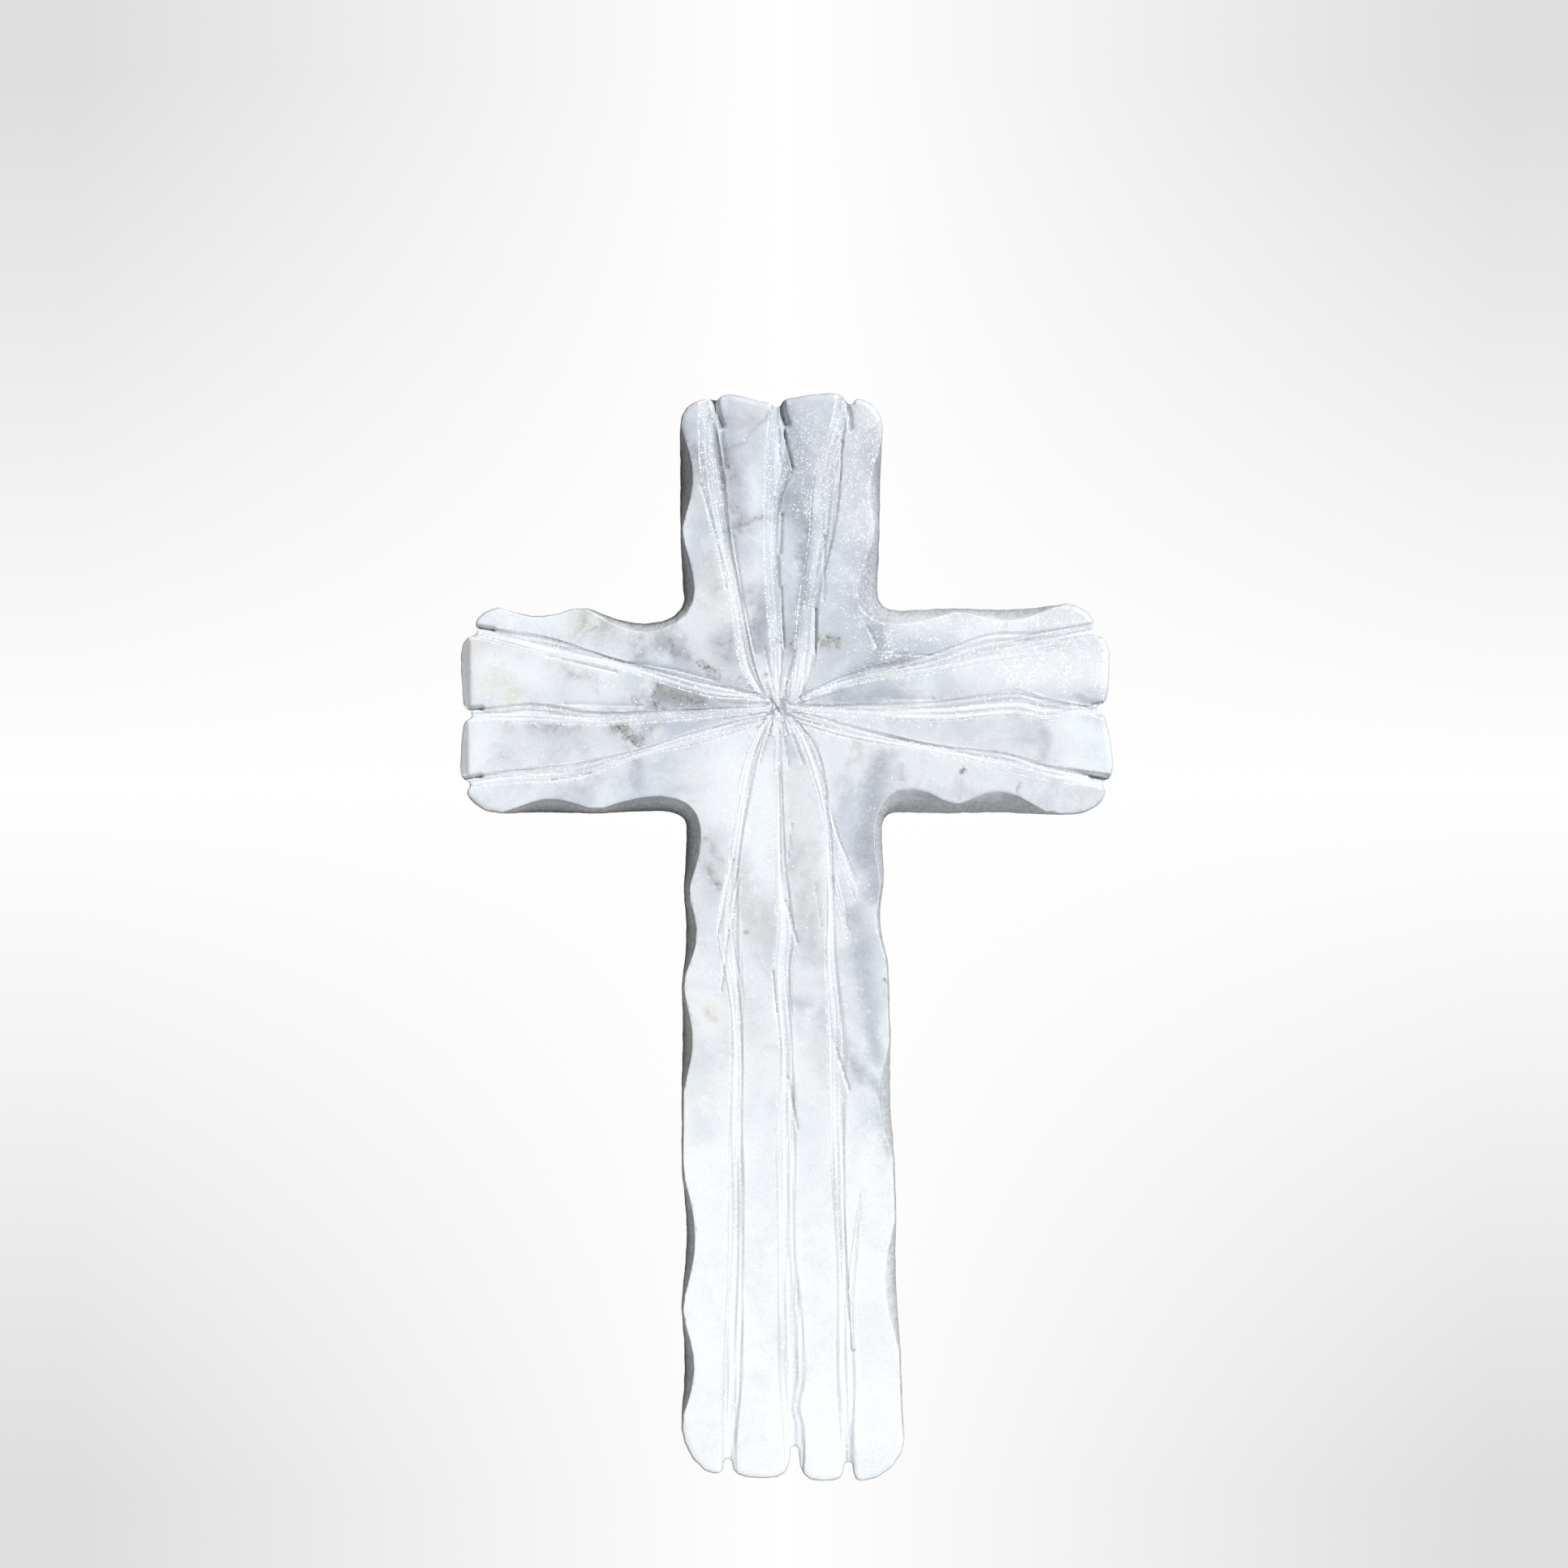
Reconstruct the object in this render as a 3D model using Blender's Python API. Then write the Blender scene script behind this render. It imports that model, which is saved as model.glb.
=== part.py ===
"""Marble wall cross: a Latin cross carved out of one slab of white marble.

The flat back hangs against a wall in the plane Y = 0 and the honed front looks towards -Y.
The origin is on the back, right behind the hub where all the grooves of the front meet.
The carving is drawn full size in millimetres on the arms of a drawn cross, and each arm of
the real one stretches its own part of that drawing.
"""

import math
from typing import NamedTuple

import bmesh
import bpy
from mathutils import Matrix, Vector

# Driving sizes of the cross, in metres
UPPER_REACH = 0.0737
LOWER_REACH = 0.1805
LEFT_REACH = 0.0747
RIGHT_REACH = 0.0782
BREADTH = 0.0470
THICKNESS = 0.0200

# Stone left or taken at the edges
END_ROUNDING = 0.0013
ARRIS_ROUNDING = 0.0002
BACK_CHAMFER = 0.0005
NOTCH_GAP = 0.0014

# Grooves: how deep for their width, and at least how deep where they start at the hub
GROOVE_DEPTH_RATIO = 0.30
HUB_GROOVE_DEPTH = 0.0010
SPUR_DEPTH_RATIO = 0.35
HUB_DISH_RADIUS = 0.0070
HUB_DISH_DEPTH = 0.0006
HUB_DISH_FLOOR = 0.3
HUB_PIT_DEPTH = 0.0020

# Hanging hole, drilled into the back of the upper arm
HOLE_DIAMETER = 0.0080
HOLE_DEPTH = 0.0100
HOLE_HEIGHT = 0.0450
DRILL_OVERSHOOT = 0.0020

# Fineness of the mesh
SIDE_STEP = 0.0034
GROOVE_STEP = 0.0042
QUARTER_STEPS = 4
ROUND_SEGMENTS = 24

# The drawing's own unit and the breadth of its arms
DRAWN_UNIT = 0.001
DRAWN_HALF = 23.5

# A ground side: from the crossing to the end its distance from the hub's axis goes from root to
# tip, and each grinder bite is (along, half length, depth at the front, depth at the back).
Side = NamedTuple("Side", [("root", float), ("tip", float), ("bites", list)])

# An arm: its direction, the direction across it, its real and drawn reach, its lower and upper
# side across, the corners of its lobed end as (across, along), the crowns of its four lobes,
# the squareness of its two outer corners, and its grooves.
Arm = NamedTuple(
    "Arm",
    [
        ("along", Vector),
        ("across", Vector),
        ("reach", float),
        ("drawn_reach", float),
        ("low_side", Side),
        ("high_side", Side),
        ("end_corners", list),
        ("crowns", list),
        ("corner_powers", tuple),
        ("grooves", list),
    ],
)

# A point of the outline in the plane of the face, with the way out of the stone, the depth
# taken off there at the front and at the back, and the rounding of the front edge.
Station = NamedTuple(
    "Station",
    [("place", Vector), ("outward", Vector), ("front", float), ("back", float), ("rounding", float)],
)

# Each groove is a list of (along, gentle edge across, steep edge across). The wide bright slope
# rises to the gentle edge, and the narrow dark wall stands at the steep edge.
UPPER_ARM = Arm(
    along=Vector((0, 0, 1)),
    across=Vector((1, 0, 0)),
    reach=UPPER_REACH,
    drawn_reach=73.7,
    low_side=Side(23.3, 23.6, [(26.5, 15.5, 3.6, 0.5), (53.7, 13, 3.4, 0.1)]),
    high_side=Side(23.4, 24.5, [(24, 20, 5.6, 0.4), (50.5, 11.5, 2.8, 0.2)]),
    end_corners=[(-23.4, 65.6), (-14.9, 71.8), (-0.6, 70.2), (16.6, 70.9), (24.4, 65.6)],
    crowns=[(72.0, 72.2), (73.4, 71.7), (72.7, 73.7), (72.2, 72.0)],
    corner_powers=(2.0, 1.8),
    grooves=[
        [(2, -4.2, -2.8), (10, -9.1, -5.7), (25, -11.5, -8.5), (40, -15.7, -11.3),
         (55, -18.3, -12.7), (65, -18.7, -14.4), (78, -18.3, -14.7)],
        [(0, -1.3, 0.2), (14, -2.1, 1.1), (36, -3.6, 0.2), (49, -3.3, 0.9),
         (55, -3.4, 3.2), (61, -3.1, 2.0), (78, -1.3, 1.1)],
        [(1, 2.3, 5.0), (10, 3.4, 8.5), (25, 4.6, 9.5), (40, 7.0, 12.9),
         (50, 7.6, 14.4), (58, 9.2, 14.7), (66, 12.0, 15.8), (78, 14.2, 16.8)],
    ],
)
LEFT_ARM = Arm(
    along=Vector((-1, 0, 0)),
    across=Vector((0, 0, 1)),
    reach=LEFT_REACH,
    drawn_reach=74.7,
    low_side=Side(25.3, 24.8, [(27.5, 18.5, 4.7, 0.9), (53, 11.5, 3.8, 0.4)]),
    high_side=Side(24.3, 23.6, [(31.5, 15, 6.4, 4.2), (56, 10, 2.6, 2.2)]),
    end_corners=[(-24.5, 67.9), (-18.1, 72.3), (-1.7, 71.9), (17.8, 70.6), (23.6, 65.2)],
    crowns=[(73.0, 73.0), (74.7, 74.2), (74.2, 74.6), (71.0, 71.0)],
    corner_powers=(1.3, 1.6),
    grooves=[
        [(4, 1.9, 3.2), (17, 2.8, 6.6), (38, 9.1, 11.5), (53, 11.7, 16.3), (68, 15.5, 18.8),
         (80, 17.6, 20.6)],
        [(2, -0.8, 0.6), (21, -2.8, -0.2), (40, -4.0, -0.9), (57, -3.6, 1.1), (66, -3.3, 0.3),
         (80, -2.6, -1.1)],
        [(3, -3.7, -1.3), (19, -8.5, -4.7), (32, -11.3, -9.4), (47, -16.8, -12.3), (62, -17.6, -14.2),
         (80, -19.6, -17.6)],
    ],
)
LOWER_ARM = Arm(
    along=Vector((0, 0, -1)),
    across=Vector((1, 0, 0)),
    reach=LOWER_REACH,
    drawn_reach=180.5,
    low_side=Side(22.9, 23.3, [(30, 16, 4.7, 1.0), (52.5, 12, 3.7, 1.0), (77.5, 13, 2.7, 0.2),
                               (123.6, 17, 3.4, 1.2), (153.7, 13.5, 3.3, 0.9)]),
    high_side=Side(24.6, 29.6, [(31, 13, 2.4, 0.6), (49.5, 10.5, 2.5, 1.7), (91.5, 14.5, 3.4, 0.6),
                                (134.4, 17, 3.4, 0.6)]),
    end_corners=[(-23.0, 167.8), (-12.0, 175.2), (3.6, 172.2), (16.1, 176.0), (29.4, 170.7)],
    crowns=[(178.8, 178.8), (179.7, 180.0), (180.4, 180.5), (180.5, 180.3)],
    corner_powers=(1.7, 1.8),
    grooves=[
        [(2, -3.4, -2.0), (14, -8.7, -5.3), (35, -11.6, -8.9), (52, -14.4, -8.7), (71, -11.5, -8.3),
         (104, -11.9, -8.1), (130, -12.1, -8.1), (153, -13.2, -8.2), (168, -13.5, -9.6),
         (187, -14.0, -10.4)],
        [(0, -0.8, 0.4), (24, -1.3, 1.1), (38, -1.2, 2.0), (52, -0.9, 3.8), (62, -1.5, 3.0),
         (81, 0.0, 3.6), (100, -0.9, 4.2), (126, -0.4, 4.0), (154, -0.2, 6.6), (163, 0.4, 4.9),
         (168, 0.9, 6.0), (187, 1.4, 5.2)],
        [(2, 1.6, 3.6), (10, 5.0, 9.3), (24, 9.5, 11.9), (43, 11.0, 13.0), (60, 10.7, 13.7),
         (78, 11.3, 15.6), (105, 11.8, 15.5), (132, 13.2, 16.2), (155, 13.2, 18.4),
         (171, 14.0, 17.4), (187, 14.6, 17.4)],
    ],
)
RIGHT_ARM = Arm(
    along=Vector((1, 0, 0)),
    across=Vector((0, 0, 1)),
    reach=RIGHT_REACH,
    drawn_reach=78.2,
    low_side=Side(24.8, 25.3, [(30.5, 13, 6.2, 0.2), (51, 12, 5.7, 0.4)]),
    high_side=Side(23.4, 24.6, [(27.5, 17.5, 4.0, 0.5), (53, 13, 3.7, 0.8)]),
    end_corners=[(-25.1, 69.0), (-18.0, 75.6), (-0.4, 74.1), (17.8, 73.0), (24.5, 67.0)],
    crowns=[(76.2, 76.2), (78.2, 77.0), (77.0, 77.4), (73.5, 73.4)],
    corner_powers=(1.6, 1.7),
    grooves=[
        [(4, 1.4, 3.0), (19, 5.7, 9.1), (34, 7.7, 12.3), (49, 10.6, 17.4), (57, 12.1, 17.8),
         (72, 15.1, 19.7), (83, 17.0, 20.6)],
        [(2, -0.8, 0.8), (23, -2.6, 0.9), (38, -3.0, 1.8), (55, -1.9, 4.2), (62, -3.0, 2.4), (73, -1.5, 0.4),
         (83, -1.5, 0.6)],
        [(3, -3.4, -1.1), (15, -7.0, -3.4), (34, -10.2, -8.1), (53, -14.9, -10.6), (64, -17.2, -13.4),
         (83, -19.2, -16.4)],
    ],
)
# Anticlockwise round the front, so that each arm begins where the last one ended
ARMS = (RIGHT_ARM, UPPER_ARM, LEFT_ARM, LOWER_ARM)
ARM_NAMES = ("right", "upper", "left", "lower")

# Short grooves that branch off on the lower arm, drawn as the long ones are
SPURS = [
    [(20, 9.9, 11.4), (30, 12.3, 14.1), (38, 15.4, 17.4), (45, 17.8, 18.5)],
    [(39, 12.0, 13.4), (47, 14.0, 15.5), (54, 16.1, 16.7)],
    [(113, 18.6, 19.2), (125, 16.9, 18.8), (139, 15.6, 17.7), (151, 16.0, 18.1)],
]

# The small slanting pit across the hub, drawn on the upper arm
HUB_PIT = [(-2.6, 0.7, 1.6), (0, -1.1, 0.3), (2.3, -2.8, -1.9)]

# How far along the arms the rounded inner corners reach, as drawn, and the steps round each
CORNER_REACH = 4.2
CORNER_STEPS = 4

# Squareness of the lobes, and where the crown of a corner lobe lies on the way from the corner
LOBE_POWER = 3.0
CORNER_CROWN = 0.76

# Share of the way from a groove's gentle edge to its steep one at which its bottom starts and ends
BOTTOM_START = 0.74
BOTTOM_END = 0.84
# Share of the depth reached half way down the gentle slope, which is slightly hollow
SLOPE_HOLLOW = 0.56
# How far a cutter reaches above the face, as a share of its depth
CUTTER_LIFT = 0.35

# Heights of the outline's rings, as shares of the thickness from the back to the front
RING_HEIGHTS = (0.0, 0.03, 0.4, 0.56, 0.7, 0.82, 0.93, 0.98, 1.0)
# The height from the back at which the grinder left the side, how much the side curves from there
# to the front, and how softly a bite runs out along the side
BITE_FOOT = 0.4
BITE_CURVE = 1.9
BITE_SOFTNESS = 1.5
# Drawn distance by which the front lies inside the back where no bite reaches, and the length
# over which it fades out before an arm's end
SIDE_LEAN = 0.55
LEAN_FADE = 7.0
# The part of the thickness over which the front edge is rounded, and the most that the rounding
# may be of the outline's own radius
ROUNDED_PART = 0.07
ROUNDING_SHARE = 0.5


def clear_scene() -> None:
    """Remove the objects of the startup scene."""
    for thing in list(bpy.data.objects):
        bpy.data.objects.remove(thing, do_unlink=True)


def stretched(arm: Arm, along: float) -> float:
    """Real distance from the hub, in metres, of what is drawn this far along the arm.

    The crossing keeps the proportion of the breadth, and the rest of the arm stretches.
    """
    half = BREADTH / 2
    if along <= DRAWN_HALF:
        return along * half / DRAWN_HALF
    share = (along - DRAWN_HALF) / (arm.drawn_reach - DRAWN_HALF)
    return half + share * (arm.reach - half)


def spread(across: float) -> float:
    """Real distance from the arm's axis, in metres, of what is drawn this far from it."""
    return across * BREADTH / 2 / DRAWN_HALF


def place_on(arm: Arm, along: float, across: float) -> Vector:
    """Point of the drawing on this arm, in metres, in the plane of the back."""
    return arm.along * stretched(arm, along) + arm.across * spread(across)


def bite_depths(side: Side, along: float) -> tuple:
    """Depth drawn at the front and at the back of all grinder bites that reach this place."""
    front = 0.0
    back = 0.0
    for middle, half_length, front_depth, back_depth in side.bites:
        hollow = max(0.0, 1 - ((along - middle) / half_length) ** 2) ** BITE_SOFTNESS
        front += hollow * front_depth
        back += hollow * back_depth
    return front, back


def side_offset(arm: Arm, side: Side, along: float) -> float:
    """Drawn distance of an unbitten side from the hub's axis."""
    share = (along - DRAWN_HALF) / (arm.drawn_reach - DRAWN_HALF)
    return side.root + share * (side.tip - side.root)


def side_stations(arm: Arm, sign: int) -> list:
    """Outline stations of one side of an arm, from just past the crossing to the end's corner."""
    side = arm.high_side if sign > 0 else arm.low_side
    corner = arm.end_corners[-1] if sign > 0 else arm.end_corners[0]
    start = DRAWN_HALF + CORNER_REACH
    length = stretched(arm, corner[1]) - stretched(arm, start)
    count = max(6, round(length / SIDE_STEP))
    stations = []
    for index in range(count):
        along = start + (corner[1] - start) * index / count
        front, back = bite_depths(side, along)
        front = math.hypot(front, SIDE_LEAN * min(1, (corner[1] - along) / LEAN_FADE))
        place = place_on(arm, along, sign * side_offset(arm, side, along))
        stations.append(Station(place, arm.across * sign, spread(front), spread(back), ARRIS_ROUNDING))
    return stations


def lobe_heights(power: float) -> list:
    """Shares (along the lobe, of its height) of a quarter of a rounded lobe, from crown to foot."""
    angles = [math.pi / 2 * step / QUARTER_STEPS for step in range(QUARTER_STEPS + 1)]
    return [(math.sin(angle) ** (2 / power), math.cos(angle) ** (2 / power)) for angle in angles]


def end_points(arm: Arm) -> list:
    """Points of the lobed end, across the arm from its low side to its high one."""
    gap = NOTCH_GAP / 2 / DRAWN_UNIT
    points = []
    for index, (low_crown, high_crown) in enumerate(arm.crowns):
        (low, low_floor), (high, high_floor) = arm.end_corners[index : index + 2]
        first = index == 0
        last = index == len(arm.crowns) - 1
        low += 0 if first else gap
        high -= 0 if last else gap
        # The crown of a corner lobe lies near its notch, and that of an inner lobe in its middle
        top = low + (high - low) * (CORNER_CROWN if first else 1 - CORNER_CROWN if last else 0.5)
        low_quarter = lobe_heights(arm.corner_powers[0] if first else LOBE_POWER)
        high_quarter = lobe_heights(arm.corner_powers[1] if last else LOBE_POWER)
        for out, up in reversed(low_quarter[1:]):
            points.append((top + (low - top) * out, low_floor + (low_crown - low_floor) * up))
        points.append((top, (low_crown + high_crown) / 2))
        for out, up in high_quarter[1:]:
            points.append((top + (high - top) * out, high_floor + (high_crown - high_floor) * up))
    return points


def end_stations(arm: Arm) -> list:
    """Outline stations of an arm's end, in the order of end_points.

    The rounding of the front edge stays well inside the outline's own radius, so that a narrow
    lobe isn't turned inside out.
    """
    places = [place_on(arm, along, across) for across, along in end_points(arm)]
    stations = []
    for index, place in enumerate(places):
        before = places[max(0, index - 1)]
        after = places[min(len(places) - 1, index + 1)]
        run = (after - before).normalized()
        outward = arm.along * run.dot(arm.across) - arm.across * run.dot(arm.along)
        rounding = END_ROUNDING
        if 0 < index < len(places) - 1:
            turn = (place - before).angle(after - place)
            bulges = (place - (before + after) / 2).dot(outward) > 0
            if bulges:
                radius = (after - before).length / 2 / max(turn, 0.01)
                rounding = min(END_ROUNDING, radius * ROUNDING_SHARE)
        stations.append(Station(place, outward, 0.0, 0.0, rounding))
    return stations


def corner_station(arm: Arm, next_arm: Arm) -> Station:
    """Station in the sharp inner corner between two arms, where the bites of both sides meet."""
    sign = 1 if next_arm.along.dot(arm.across) > 0 else -1
    side = arm.high_side if sign > 0 else arm.low_side
    next_sign = 1 if arm.along.dot(next_arm.across) > 0 else -1
    next_side = next_arm.high_side if next_sign > 0 else next_arm.low_side
    place = arm.across * sign * spread(side.root) + next_arm.across * next_sign * spread(next_side.root)
    front, back = bite_depths(side, DRAWN_HALF)
    next_front, next_back = bite_depths(next_side, DRAWN_HALF)
    outward = arm.across * sign * front + next_arm.across * next_sign * next_front
    return Station(
        place,
        outward.normalized(),
        spread(math.hypot(front, next_front)),
        spread(math.hypot(back, next_back)),
        ARRIS_ROUNDING,
    )


def curved(start: Vector, middle: Vector, end: Vector, share: float) -> Vector:
    """Point on the curve from start to end that the middle pulls towards itself."""
    return start * (1 - share) ** 2 + middle * 2 * share * (1 - share) + end * share**2


def rounded_corner(before: Station, corner: Station, after: Station) -> list:
    """Stations on a round inner corner between the last station of one arm and the first of the next."""
    stations = []
    for step in range(1, CORNER_STEPS):
        share = step / CORNER_STEPS
        around = (before, corner, after)
        place = curved(*[station.place for station in around], share)
        front = curved(*[station.outward * station.front for station in around], share)
        back = curved(*[station.outward * station.back for station in around], share)
        stations.append(Station(place, front.normalized(), front.length, back.length, ARRIS_ROUNDING))
    return stations


def outline_stations() -> list:
    """All stations of the outline, anticlockwise as the front shows them."""
    walks = []
    for index, arm in enumerate(ARMS):
        # The arm is walked out along one side and home along the side beside the next arm
        home_sign = 1 if ARMS[(index + 1) % len(ARMS)].along.dot(arm.across) > 0 else -1
        out = side_stations(arm, -home_sign)
        home = side_stations(arm, home_sign)
        end = end_stations(arm)
        if home_sign < 0:
            end.reverse()
        walks.append(out + end + home[::-1])
    stations = []
    for index, walk in enumerate(walks):
        next_index = (index + 1) % len(ARMS)
        corner = corner_station(ARMS[index], ARMS[next_index])
        stations += walk + rounded_corner(walk[-1], corner, walks[next_index][0])
    return stations


def taken_off(station: Station, height: float) -> float:
    """Depth of stone missing from the outline at this share of the thickness."""
    climb = max(0.0, (height - BITE_FOOT) / (1 - BITE_FOOT))
    depth = station.back + (station.front - station.back) * climb**BITE_CURVE
    turn = max(0.0, 1 - (1 - height) / ROUNDED_PART)
    depth += station.rounding * (1 - math.sqrt(1 - turn**2))
    if height == 0:
        depth += BACK_CHAMFER
    return depth


def carve_blank() -> bmesh.types.BMesh:
    """Extrude the back's outline ring by ring to the front, following the grinder bites."""
    stations = outline_stations()
    mesh = bmesh.new()
    back = [mesh.verts.new(station.place - station.outward * taken_off(station, 0.0)) for station in stations]
    face = mesh.faces.new(back)
    for height in RING_HEIGHTS[1:]:
        grown = bmesh.ops.extrude_discrete_faces(mesh, faces=[face])
        face = grown["faces"][0]
        for vertex, station in zip(face.verts, stations):
            vertex.co = station.place - station.outward * taken_off(station, height)
            vertex.co.y = -THICKNESS * height
    return mesh


def closed_back(mesh: bmesh.types.BMesh) -> None:
    """Close the open ring that the extrusion leaves at the back, and turn all faces outwards."""
    open_edges = [edge for edge in mesh.edges if edge.is_boundary]
    bmesh.ops.contextual_create(mesh, geom=open_edges)
    bmesh.ops.recalc_face_normals(mesh, faces=mesh.faces)


def object_from(name: str, mesh: bmesh.types.BMesh) -> bpy.types.Object:
    """New object of the scene from an edited mesh."""
    data = bpy.data.meshes.new(name)
    mesh.to_mesh(data)
    mesh.free()
    thing = bpy.data.objects.new(name, data)
    bpy.context.scene.collection.objects.link(thing)
    return thing


def smooth_between(rows: list, along: float) -> tuple:
    """Edges of a groove between its drawn rows, on a curve that passes through each of them."""
    last = len(rows) - 1
    index = 0
    while index < last - 1 and along > rows[index + 1][0]:
        index += 1
    start, end = rows[index], rows[index + 1]
    before = rows[max(0, index - 1)]
    after = rows[min(last, index + 2)]
    length = end[0] - start[0]
    share = (along - start[0]) / length
    edges = []
    for column in (1, 2):
        start_slope = (end[column] - before[column]) / (end[0] - before[0]) * length
        end_slope = (after[column] - start[column]) / (after[0] - start[0]) * length
        ease = share * share * (3 - 2 * share)
        value = start[column] + (end[column] - start[column]) * ease
        value += start_slope * share * (1 - share) ** 2
        value -= end_slope * share**2 * (1 - share)
        edges.append(value)
    return tuple(edges)


def groove_section(gentle: float, steep: float, depth: float) -> list:
    """Section of a groove as (across, depth below the face), reaching a little above the face."""
    width = steep - gentle
    half_slope = gentle + width * BOTTOM_START / 2
    start = gentle + width * BOTTOM_START
    end = gentle + width * BOTTOM_END
    return [
        (gentle - (half_slope - gentle) * CUTTER_LIFT / SLOPE_HOLLOW, -depth * CUTTER_LIFT),
        (half_slope, depth * SLOPE_HOLLOW),
        (start, depth),
        (end, depth),
        (steep + (steep - end) * CUTTER_LIFT, -depth * CUTTER_LIFT),
    ]


def groove_cutter(name: str, arm: Arm, rows: list, ratio: float, least: float) -> bpy.types.Object:
    """Solid that cuts one groove: a section swept along the arm through the drawn rows.

    Its depth is this ratio of its width, and never under the least depth.
    """
    length = stretched(arm, rows[-1][0]) - stretched(arm, rows[0][0])
    count = max(4, round(length / GROOVE_STEP))
    mesh = bmesh.new()
    face = None
    for index in range(count + 1):
        along = rows[0][0] + (rows[-1][0] - rows[0][0]) * index / count
        gentle, steep = smooth_between(rows, along)
        depth = max(spread(steep - gentle) * ratio, least)
        ring = []
        for across, below in groove_section(gentle, steep, depth):
            point = place_on(arm, along, across)
            point.y = below - THICKNESS
            ring.append(point)
        if face is None:
            face = mesh.faces.new([mesh.verts.new(point) for point in ring])
            continue
        face = bmesh.ops.extrude_discrete_faces(mesh, faces=[face])["faces"][0]
        for vertex, point in zip(face.verts, ring):
            vertex.co = point
    closed_back(mesh)
    return object_from(name, mesh)


def turned_cutter(name: str, front: tuple, back: tuple) -> bpy.types.Object:
    """Round cutter about an axis along Y, from its front (Y, radius) to its back (Y, radius)."""
    middle = Matrix.Translation((0, (front[0] + back[0]) / 2, 0))
    mesh = bmesh.new()
    bmesh.ops.create_cone(
        mesh,
        cap_ends=True,
        segments=ROUND_SEGMENTS,
        radius1=front[1],
        radius2=back[1],
        depth=back[0] - front[0],
        matrix=middle @ Matrix.Rotation(-math.pi / 2, 4, "X"),
    )
    return object_from(name, mesh)


def hub_dish_cutter() -> bpy.types.Object:
    """Shallow cone that hollows the hub, where the grooves crowd together."""
    floor_radius = HUB_DISH_RADIUS * HUB_DISH_FLOOR
    top_radius = HUB_DISH_RADIUS + (HUB_DISH_RADIUS - floor_radius) * CUTTER_LIFT
    front = (-THICKNESS - HUB_DISH_DEPTH * CUTTER_LIFT, top_radius)
    back = (-THICKNESS + HUB_DISH_DEPTH, floor_radius)
    return turned_cutter("hub_dish", front, back)


def drill_cutter() -> bpy.types.Object:
    """Drill for the blind hanging hole in the back of the upper arm."""
    radius = HOLE_DIAMETER / 2
    drill = turned_cutter("drill", (-HOLE_DEPTH, radius), (DRILL_OVERSHOOT, radius))
    drill.location.z = HOLE_HEIGHT
    return drill


def cutters() -> list:
    """Every cutter of the carving: the grooves of each arm, the spurs, the hub and the drill."""
    found = [hub_dish_cutter(), drill_cutter()]
    for arm_name, arm in zip(ARM_NAMES, ARMS):
        for number, rows in enumerate(arm.grooves, start=1):
            name = f"{arm_name}_groove_{number}"
            found.append(groove_cutter(name, arm, rows, GROOVE_DEPTH_RATIO, HUB_GROOVE_DEPTH))
    for number, rows in enumerate(SPURS, start=1):
        found.append(groove_cutter(f"spur_{number}", LOWER_ARM, rows, SPUR_DEPTH_RATIO, 0.0))
    found.append(groove_cutter("hub_pit", UPPER_ARM, HUB_PIT, 0.0, HUB_PIT_DEPTH))
    return found


def marble() -> bpy.types.Material:
    """Honed white marble."""
    material = bpy.data.materials.new("marble")
    material.use_nodes = True
    shader = material.node_tree.nodes["Principled BSDF"]
    shader.inputs["Base Color"].default_value = (0.82, 0.84, 0.86, 1.0)
    shader.inputs["Roughness"].default_value = 0.4
    shader.inputs["Metallic"].default_value = 0.0
    return material


def main() -> None:
    """Carve the cross."""
    clear_scene()
    blank = carve_blank()
    closed_back(blank)
    cross = object_from("marble_cross", blank)
    cross.data.materials.append(marble())
    for cutter in cutters():
        cutter.hide_render = True
        cutter.display_type = "WIRE"
        cut = cross.modifiers.new(cutter.name, "BOOLEAN")
        cut.object = cutter
        cut.operation = "DIFFERENCE"
        cut.solver = "EXACT"


main()
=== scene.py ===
"""Marble wall cross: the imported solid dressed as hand-carved white marble, in a pale studio.

The cross is one stone. A fine copy of the solid is made, its arrises are worn and its grooves,
sides and faces get the marks of the grinder, and one marble with named clouds, veins, stains and
crystals is laid through it. Places on the stone are millimetres in the plane of the face,
(across, up) from the hub where the grooves meet, as the front is seen.
"""

import logging
from dataclasses import dataclass
from enum import Enum

import bpy
import numpy as np
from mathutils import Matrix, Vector, noise

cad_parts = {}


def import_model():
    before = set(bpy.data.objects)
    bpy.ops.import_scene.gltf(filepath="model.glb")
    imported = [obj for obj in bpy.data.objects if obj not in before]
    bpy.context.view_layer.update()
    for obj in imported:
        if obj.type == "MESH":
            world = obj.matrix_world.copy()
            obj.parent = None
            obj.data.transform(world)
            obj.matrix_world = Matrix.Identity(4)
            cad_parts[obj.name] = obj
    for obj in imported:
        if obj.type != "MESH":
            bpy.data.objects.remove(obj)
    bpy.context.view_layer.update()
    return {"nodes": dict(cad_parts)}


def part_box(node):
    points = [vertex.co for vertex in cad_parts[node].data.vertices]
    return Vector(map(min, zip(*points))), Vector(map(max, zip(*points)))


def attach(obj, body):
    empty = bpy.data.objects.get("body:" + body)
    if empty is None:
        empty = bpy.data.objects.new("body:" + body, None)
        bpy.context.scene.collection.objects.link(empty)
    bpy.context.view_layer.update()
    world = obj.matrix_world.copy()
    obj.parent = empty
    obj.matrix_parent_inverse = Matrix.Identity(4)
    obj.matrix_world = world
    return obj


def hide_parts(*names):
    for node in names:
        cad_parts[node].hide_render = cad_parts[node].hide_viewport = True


LOG = logging.getLogger("marble_cross")
MM = 0.001
NODE = "marble_cross"


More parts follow.
